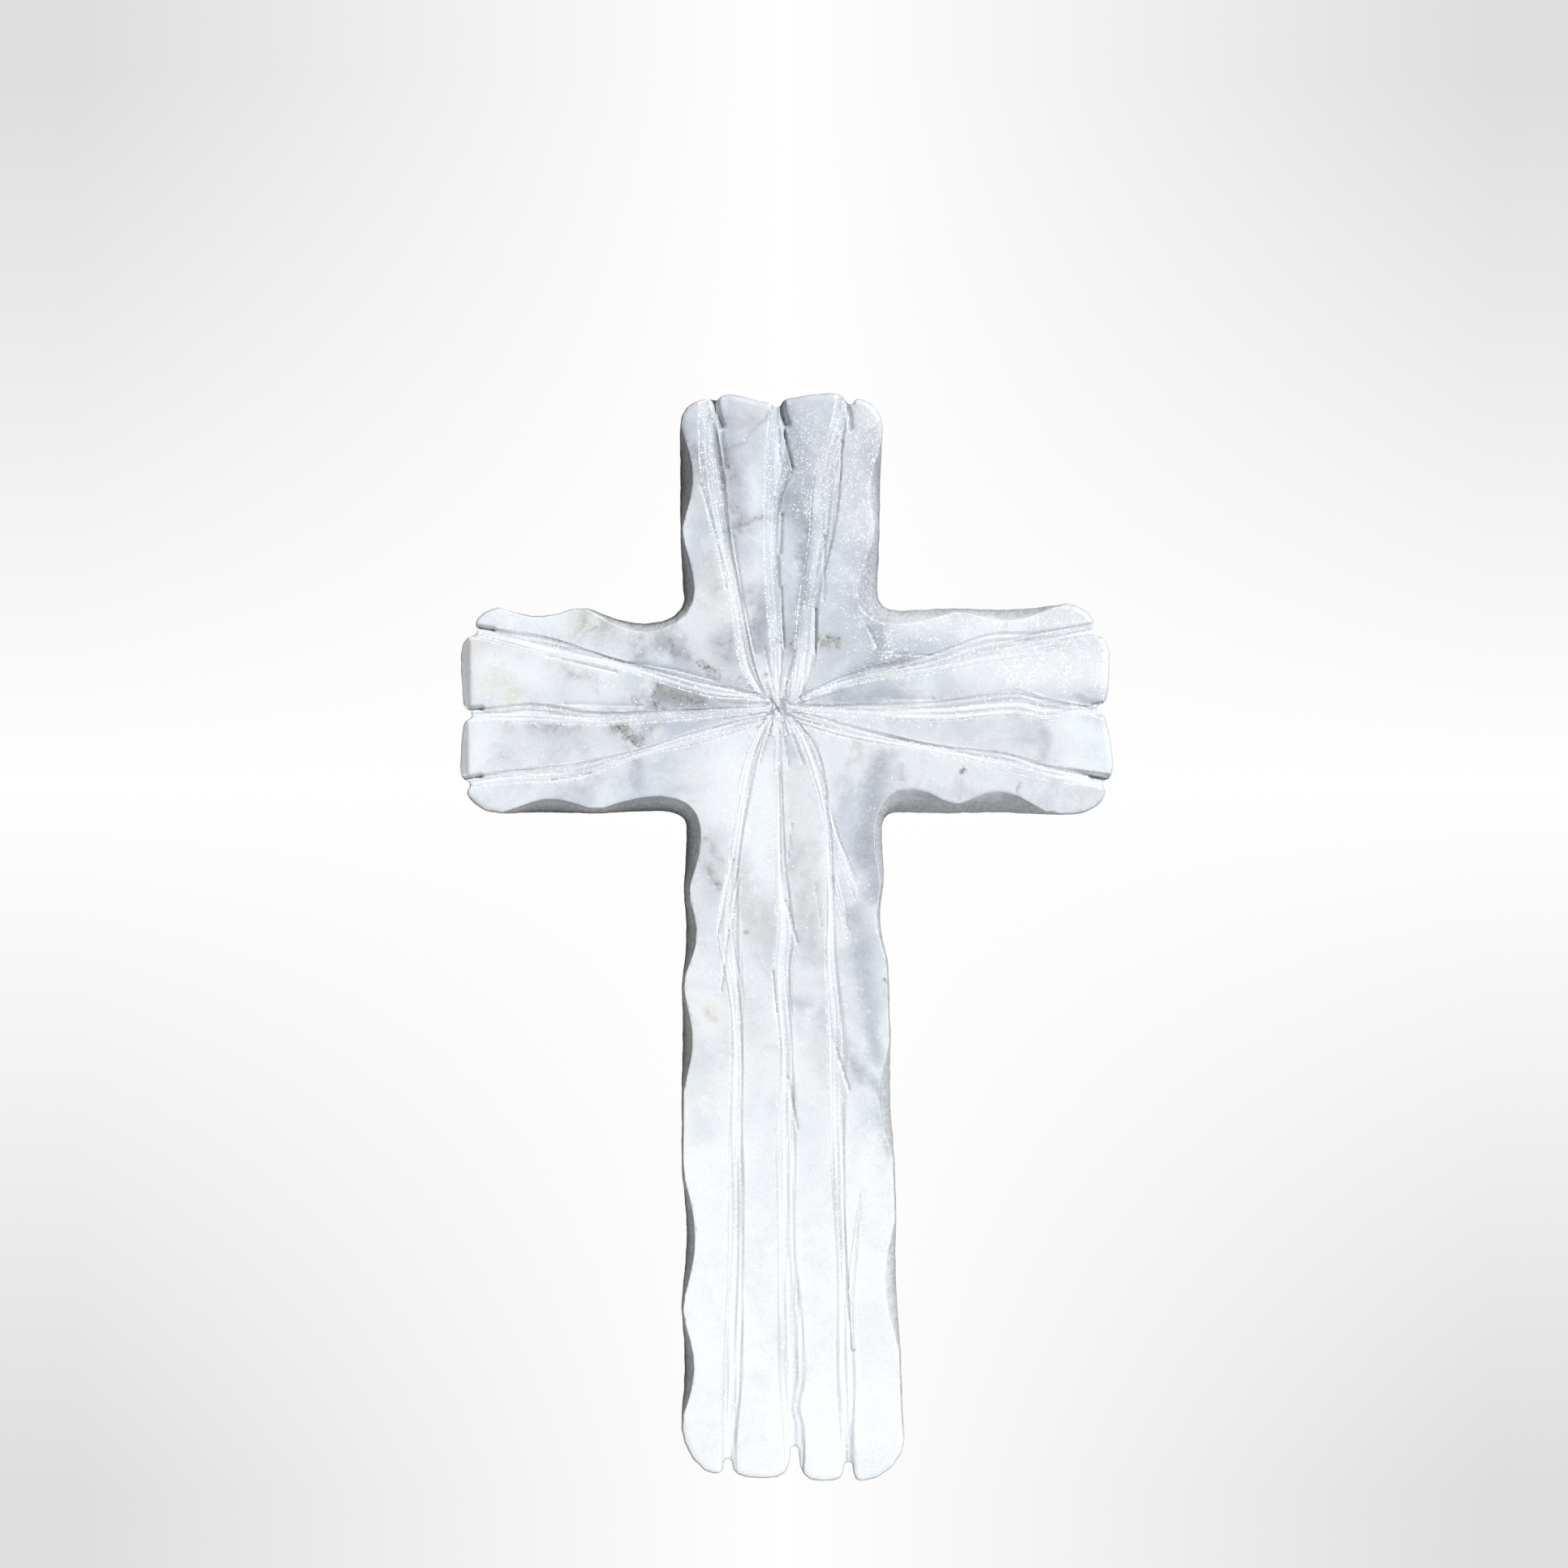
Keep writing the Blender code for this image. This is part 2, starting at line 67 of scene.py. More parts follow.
def linear(code: str) -> tuple[float, float, float, float]:
    """Turn an sRGB hex colour into a linear one.

    Args:
        code: Six hex digits after a hash, such as "#E6EAF0".

    Returns:
        Linear red, green, blue and an alpha of 1.
    """
    parts = [int(code[index : index + 2], 16) / 255 for index in (1, 3, 5)]
    values = [part / 12.92 if part <= 0.04045 else ((part + 0.055) / 1.055) ** 2.4 for part in parts]
    return (*values, 1.0)


def add_node(tree: bpy.types.NodeTree, kind: str, settings: dict, sockets: dict) -> bpy.types.Node:
    """Add a node with its settings, and fill or link its inputs.

    Args:
        tree: The node tree it goes into.
        kind: The node's type name.
        settings: Attribute names and their values.
        sockets: Input names or numbers, each with a value or the output that feeds it.

    Returns:
        The new node.
    """
    node = tree.nodes.new(kind)
    for name, value in settings.items():
        setattr(node, name, value)
    for key, value in sockets.items():
        if isinstance(value, bpy.types.NodeSocket):
            tree.links.new(value, node.inputs[key])
        else:
            node.inputs[key].default_value = value
    return node


def select_only(piece: bpy.types.Object) -> None:
    """Make this piece the only selected object and the active one."""
    bpy.ops.object.select_all(action="DESELECT")
    piece.select_set(True)
    bpy.context.view_layer.objects.active = piece


def apply_modifier(piece: bpy.types.Object, kind: str, settings: dict) -> None:
    """Add a modifier with its settings and apply it.

    Args:
        piece: The object to change.
        kind: The modifier's type name.
        settings: Attribute names and their values.
    """
    select_only(piece)
    modifier = piece.modifiers.new(kind.lower(), kind)
    for name, value in settings.items():
        setattr(modifier, name, value)
    bpy.ops.object.modifier_apply(modifier=modifier.name)


def eased(values: np.ndarray, low: float, high: float) -> np.ndarray:
    """Rise smoothly from 0 at low to 1 at high, where low may be the greater one."""
    share = np.clip((values - low) / (high - low), 0, 1)
    return share * share * (3 - 2 * share)


def grain(points: np.ndarray, cell: tuple[float, float, float], seed: float) -> np.ndarray:
    """Coherent noise of about -1 to 1 at each point.

    Args:
        points: Places in metres, one row each.
        cell: Size of the noise along X, Y and Z, in millimetres.
        seed: Shift that tells one noise from another.

    Returns:
        One value for each point.
    """
    places = points / (np.array(cell) * MM) + seed
    return np.array([noise.noise(place) for place in places.tolist()])


def wander(along: np.ndarray, cell: float, seed: float) -> np.ndarray:
    """Slow change of about -1 to 1 along a groove.

    Args:
        along: Millimetres along the arm.
        cell: Length of one swing, in millimetres.
        seed: Shift that tells one groove from another.

    Returns:
        One value for each place.
    """
    steps = np.arange(-20.0, 205.0, 0.5)
    values = [noise.noise((step / cell, seed, 0.5)) * 1.6 for step in steps]
    return np.interp(along, steps, values)


class Tone(Enum):
    """The colours that run through the stone, each with its hex code."""

    CLOUD = "#C3CAD5"
    SLATE = "#8D949F"
    TAN = "#A3A29E"
    UMBER = "#68676A"
    HAZE = "#DADAD3"
    OCHRE = "#E6E2D5"
    MILK = "#F2F7FD"
    # Laid as no colour: its patches say where painted glints crowd
    FROST = "#FFFFFF"


class Arm(Enum):
    """The four arms, each with its way out from the hub, the way across it, and its end."""

    UPPER = ((0.0, 1.0), (1.0, 0.0), 71.0)
    LEFT = ((-1.0, 0.0), (0.0, 1.0), 71.5)
    LOWER = ((0.0, -1.0), (1.0, 0.0), 174.5)
    RIGHT = ((1.0, 0.0), (0.0, 1.0), 75.0)


@dataclass(frozen=True)
class Patch:
    """A stretch of colour in the stone along a short line, fading to nothing at its width."""

    amount: float
    width: float
    line: tuple[tuple[float, float], ...]


@dataclass(frozen=True)
class Cut:
    """A shallow stroke of the grinder across the face: its line, width and depth in millimetres."""

    width: float
    depth: float
    line: tuple[tuple[float, float], ...]


@dataclass(frozen=True)
class Facet:
    """A plane ground off an edge: it falls away from the line at its right hand, at this slope."""

    slope: float
    reach: float
    line: tuple[tuple[float, float], tuple[float, float]]


@dataclass(frozen=True)
class Groove:
    """A groove that the disc ground in a few passes, from its gentle edge to its steep one.

    Its depths are (along, depth) and its rows (along, gentle edge, steep edge), in millimetres.
    """

    arm: Arm
    passes: float
    bottom: float
    depths: tuple[tuple[float, float], ...]
    rows: tuple[tuple[float, float, float], ...]

    def place(self, flat: np.ndarray) -> tuple[np.ndarray, np.ndarray, np.ndarray]:
        """Find where points of the face lie in the groove, on a curve through its rows.

        Args:
            flat: Places on the face, in millimetres from the hub, one row each.

        Returns:
            Millimetres along the arm and from the gentle edge, and the groove's width there.
        """
        out, over, _ = self.arm.value
        along, across = flat @ np.array(out), flat @ np.array(over)
        rows = np.array(self.rows)
        last = len(rows) - 1
        index = np.clip(np.searchsorted(rows[:, 0], along) - 1, 0, last - 1)
        start, end = rows[index], rows[index + 1]
        before, after = rows[np.maximum(index - 1, 0)], rows[np.minimum(index + 2, last)]
        length = end[:, :1] - start[:, :1]
        share = np.clip((along[:, None] - start[:, :1]) / length, 0, 1)
        leaving = (end - before) / (end - before)[:, :1] * length
        coming = (after - start) / (after - start)[:, :1] * length
        edges = start + (end - start) * share**2 * (3 - 2 * share)
        edges += leaving * share * (1 - share) ** 2 - coming * share**2 * (1 - share)
        return along, across - edges[:, 1], edges[:, 2] - edges[:, 1]

    def depth(self, along: np.ndarray, offset: np.ndarray, width: np.ndarray) -> np.ndarray:
        """Depth of the groove below the face, in millimetres.

        The slope is long on the gentle side and short on the steep one, where it ends in a keen
        drop. Between two passes of the disc a ridge is left standing.

        Args:
            along: Millimetres along the arm.
            offset: Millimetres from the gentle edge.
            width: The groove's width there.

        Returns:
            One depth for each place, 0 outside the groove.
        """
        seed = self.rows[0][1] * 3.7 + self.rows[-1][2]
        share = np.clip(offset / width, 0, 1)
        steps, depths = zip(*self.depths)
        full = np.interp(along, steps, depths, left=0.0) * (1 + 0.3 * wander(along, 9.0, seed))
        bottom = self.bottom + 0.08 * wander(along, 16.0, seed + 5)
        fall = share / bottom
        rise = np.clip((1 - share) / (1 - bottom), 0, 1) ** 0.42
        section = full * np.where(share < bottom, fall, rise)
        turn = np.pi * (self.passes * share + 0.35 * wander(along, 24.0, seed + 9))
        ridges = PASS_DEPTH * np.minimum(1, width / 3) * (np.abs(np.sin(turn)) - 0.6)
        inside = eased(share, 0, 0.1) * eased(share, 1, 0.92) * eased(full, 0.1, 0.5)
        return np.maximum(section + ridges * inside, 0) * (share > 0) * (share < 1)

    def solid_depth(self, offset: np.ndarray, width: np.ndarray) -> np.ndarray:
        """Depth of the plain solid's groove at the same places, in millimetres."""
        section = np.interp(offset / width, SOLID_SHARES, SOLID_DEPTHS, left=0.0, right=0.0)
        return section * np.maximum(width * SOLID_RATIO, SOLID_LEAST)


# Height of the ridges that stand between two passes of the disc, in millimetres
PASS_DEPTH = 0.28
# The plain solid's groove: its section, its depth as a share of its width, and its least depth
SOLID_SHARES = (0.0, 0.37, 0.74, 0.84, 1.0)
SOLID_DEPTHS = (0.0, 0.56, 1.0, 1.0, 0.0)
SOLID_RATIO = 0.30
SOLID_LEAST = 1.0

# The grooves of the upper, left, right and lower arm, and three short ones that branch off
GROOVES = (
    Groove(Arm.UPPER, 3.0, 0.62, ((1, 0.5), (12, 1.0), (40, 1.2), (58, 1.4), (65, 1.9), (71, 2.9)),
           ((2, -4.2, -2.8), (10, -9.1, -5.7), (25, -11.5, -8.5), (40, -15.7, -11.3),
            (55, -18.3, -12.7), (65, -18.7, -14.4), (78, -18.3, -14.7))),
    Groove(Arm.UPPER, 3.0, 0.60, ((0, 0.5), (14, 1.0), (36, 1.3), (48, 1.3), (60, 1.7), (65, 2.3), (71, 2.9)),
           ((0, -1.3, 0.2), (14, -2.1, 1.1), (36, -3.6, 0.2), (49, -3.3, 0.9),
            (55, -3.4, 3.2), (61, -3.1, 2.0), (78, -1.3, 1.1))),
    Groove(Arm.UPPER, 3.0, 0.66, ((1, 0.5), (12, 1.2), (24, 1.3), (46, 1.1), (60, 1.2), (66, 1.6), (71, 2.2)),
           ((1, 2.3, 5.0), (10, 3.4, 8.5), (25, 4.6, 9.5), (40, 7.0, 12.9),
            (50, 7.6, 14.4), (58, 9.2, 14.7), (66, 12.0, 15.8), (78, 14.2, 16.8))),
    Groove(Arm.LEFT, 3.0, 0.66, ((2, 0.5), (18, 0.8), (48, 0.9), (62, 1.0), (72, 2.2)),
           ((4, 1.9, 3.2), (17, 2.8, 6.6), (38, 9.1, 11.5), (53, 11.7, 16.3), (68, 15.5, 18.8),
            (80, 17.6, 20.6))),
    Groove(Arm.LEFT, 3.0, 0.62, ((1, 0.5), (14, 0.8), (36, 0.9), (50, 0.7), (66, 0.9), (72, 2.0)),
           ((2, -0.8, 0.6), (21, -2.8, -0.2), (40, -4.0, -0.9), (57, -3.6, 1.1), (66, -3.3, 0.3),
            (80, -2.6, -1.1))),
    Groove(Arm.LEFT, 3.0, 0.60, ((2, 0.4), (18, 0.7), (44, 0.7), (62, 0.9), (72, 2.2)),
           ((3, -3.7, -1.3), (19, -8.5, -4.7), (32, -11.3, -9.4), (47, -16.8, -12.3), (62, -17.6, -14.2),
            (80, -19.6, -17.6))),
    Groove(Arm.RIGHT, 4.0, 0.62, ((2, 0.5), (14, 1.2), (26, 1.5), (40, 1.2), (50, 0.9), (68, 0.8), (76, 1.6)),
           ((4, 1.4, 3.0), (19, 5.7, 9.1), (34, 7.7, 12.3), (49, 10.6, 17.4), (57, 12.1, 17.8),
            (72, 15.1, 19.7), (83, 17.0, 20.6))),
    Groove(Arm.RIGHT, 3.0, 0.62, ((1, 0.5), (16, 0.9), (34, 0.8), (56, 0.8), (68, 0.8), (76, 1.8)),
           ((2, -0.8, 0.8), (23, -2.6, 0.9), (38, -3.0, 1.8), (55, -1.9, 4.2), (62, -3.0, 2.4),
            (73, -1.5, 0.4), (83, -1.5, 0.6))),
    Groove(Arm.RIGHT, 3.0, 0.62, ((2, 0.5), (16, 1.0), (32, 0.8), (64, 0.8), (76, 2.2)),
           ((3, -3.4, -1.1), (15, -7.0, -3.4), (34, -10.2, -8.1), (53, -14.9, -10.6), (64, -17.2, -13.4),
            (83, -19.2, -16.4))),
    Groove(Arm.LOWER, 3.0, 0.62,
           ((1, 0.4), (14, 0.6), (60, 0.7), (100, 0.5), (160, 0.5), (168, 0.9), (175, 1.8)),
           ((2, -3.4, -2.0), (14, -8.7, -5.3), (35, -11.6, -8.9), (52, -14.4, -8.7), (71, -11.5, -8.3),
            (104, -11.9, -8.1), (130, -12.1, -8.1), (153, -13.2, -8.2), (168, -13.5, -9.6),
            (187, -14.0, -10.4))),
    Groove(Arm.LOWER, 3.0, 0.60,
           ((0, 0.4), (24, 0.6), (60, 0.7), (100, 0.5), (160, 0.6), (167, 0.9), (175, 1.8)),
           ((0, -0.8, 0.4), (24, -1.3, 1.1), (38, -1.2, 2.0), (52, -0.9, 3.8), (62, -1.5, 3.0),
            (81, 0.0, 3.6), (100, -0.9, 4.2), (126, -0.4, 4.0), (154, -0.2, 6.6), (163, 0.4, 4.9),
            (168, 0.9, 6.0), (187, 1.4, 5.2))),
    Groove(Arm.LOWER, 3.0, 0.62,
           ((1, 0.4), (10, 0.6), (60, 0.6), (100, 0.6), (160, 0.5), (168, 0.9), (175, 1.8)),
           ((2, 1.6, 3.6), (10, 5.0, 9.3), (24, 9.5, 11.9), (43, 11.0, 13.0), (60, 10.7, 13.7),
            (78, 11.3, 15.6), (105, 11.8, 15.5), (132, 13.2, 16.2), (155, 13.2, 18.4),
            (171, 14.0, 17.4), (187, 14.6, 17.4))),
    Groove(Arm.LOWER, 1.5, 0.66, ((20, 0.1), (26, 0.5), (38, 0.5), (45, 0.0)),
           ((20, 9.9, 11.4), (30, 12.3, 14.1), (38, 15.4, 17.4), (45, 17.8, 18.5))),
    Groove(Arm.LOWER, 1.0, 0.66, ((39, 0.1), (44, 0.4), (50, 0.4), (54, 0.0)),
           ((39, 12.0, 13.4), (47, 14.0, 15.5), (54, 16.1, 16.7))),
    Groove(Arm.LOWER, 1.5, 0.60, ((113, 0.1), (120, 0.3), (145, 0.3), (151, 0.2)),
           ((113, 18.6, 19.2), (125, 16.9, 18.8), (139, 15.6, 17.7), (151, 16.0, 18.1))),
)

# Planes ground off the tips of the left arm's two middle lobes
FACETS = (
    Facet(0.9, 3.2, ((-71.7, -0.8), (-71.9, 16.6))),
    Facet(0.9, 2.6, ((-72.2, -15.8), (-72.4, -2.2))),
)

# Light tool marks beside the grooves: second passes of the disc, branches, the pit in the hub and a
# shallow crease
CUTS = (
    Cut(0.9, 0.35, ((-10.6, 40.0), (-8.4, 25.0), (-5.6, 12.5))),
    Cut(1.2, 0.30, ((-18.2, 52.0), (-14.6, 40.0), (-12.4, 28.0))),
    Cut(0.9, 0.30, ((-18.6, 67.0), (-18.4, 58.0))),
    Cut(1.0, 0.30, ((10.6, 40.0), (10.4, 25.0))),
    Cut(1.0, 0.35, ((5.0, 24.0), (3.6, 13.5), (2.0, 7.0))),
    Cut(0.9, 0.35, ((-35.0, 10.6), (-24.6, 9.0), (-15.0, 6.4))),
    Cut(1.1, 0.30, ((-54.0, 12.0), (-38.0, 8.4))),
    Cut(1.0, 0.30, ((-50.0, 0.9), (-32.0, 0.6))),
    Cut(1.1, 0.30, ((-53.0, -16.8), (-44.0, -15.2))),
    Cut(1.0, 0.30, ((26.4, 12.6), (35.4, 12.2))),
    Cut(1.0, 0.30, ((20.6, 18.8), (22.8, 14.0))),
    Cut(1.0, 0.30, ((26.4, 2.0), (36.0, 2.1))),
    Cut(1.2, 0.45, ((-10.8, -35.5), (-14.2, -52.5))),
    Cut(1.0, 0.35, ((-11.8, -52.0), (-13.4, -66.0))),
    Cut(0.8, 0.22, ((3.0, -27.0), (2.2, -35.0))),
    Cut(1.2, 0.40, ((1.5, -45.0), (4.1, -54.6))),
    Cut(1.0, 0.40, ((-1.4, -61.5), (-0.7, -71.0))),
    Cut(1.1, 0.35, ((2.0, -86.0), (4.2, -98.0))),
    Cut(1.0, 0.18, ((8.4, -41.0), (9.8, -51.0))),
    Cut(1.2, 0.35, ((12.6, -77.0), (16.2, -89.0))),
    Cut(3.6, 0.12, ((15.4, -80.6), (19.6, -85.0), (24.2, -91.0))),
    Cut(1.0, 0.80, ((0.3, -1.6), (-0.6, -0.2), (-2.0, 2.0))),
    Cut(2.6, 2.20, ((-15.1, 71.8), (-14.3, 68.0), (-13.5, 65.6))),
    Cut(1.2, 0.60, ((-13.5, 65.6), (-12.6, 56.0))),
    Cut(2.8, 2.40, ((0.4, 71.4), (0.8, 68.4), (1.7, 66.0))),
    Cut(1.3, 0.80, ((1.0, 66.0), (1.9, 61.0), (3.2, 55.6))),
    Cut(1.9, 1.30, ((15.9, 71.4), (16.7, 65.0))),
    Cut(1.0, 0.60, ((14.6, 62.0), (14.2, 53.0))),
    Cut(1.2, 0.80, ((0.6, 45.0), (0.2, 36.0))),
    Cut(0.9, 0.80, ((8.5, 23.0), (8.4, 12.8))),
    Cut(0.9, 0.60, ((0.5, 28.0), (1.1, 14.0))),
    Cut(1.7, 1.40, ((-69.8, 18.7), (-66.6, 18.2))),
    Cut(1.9, 1.60, ((-74.6, -0.5), (-69.4, -0.2))),
    Cut(1.9, 1.60, ((-73.4, -16.6), (-69.6, -16.0))),
    Cut(1.7, 1.50, ((75.6, 1.0), (72.8, 0.7))),
    Cut(1.9, 1.50, ((77.2, -17.0), (72.6, -16.0))),
    Cut(0.8, 0.25, ((3.0, 1.4), (13.0, 6.6))),
    Cut(0.7, 0.20, ((3.4, 0.6), (15.0, 4.0))),
    Cut(0.7, 0.22, ((3.2, -0.9), (13.0, -3.2))),
    Cut(0.8, 0.22, ((2.0, -3.0), (5.6, -13.0))),
    Cut(0.7, 0.22, ((0.6, -3.4), (2.4, -14.0))),
    Cut(0.8, 0.25, ((-1.6, -3.2), (-4.4, -13.0))),
    Cut(0.7, 0.20, ((-3.2, -1.2), (-13.0, -2.6))),
    Cut(0.8, 0.22, ((-3.4, 0.4), (-14.0, 1.4))),
    Cut(0.7, 0.22, ((-3.0, 2.0), (-11.0, 4.2))),
    Cut(0.8, 0.25, ((-1.2, 3.6), (-3.4, 14.0))),
    Cut(0.7, 0.22, ((1.4, 3.4), (3.0, 12.0))),
    Cut(4.2, 0.60, ((69.5, 1.4), (75.0, -0.6))),
)

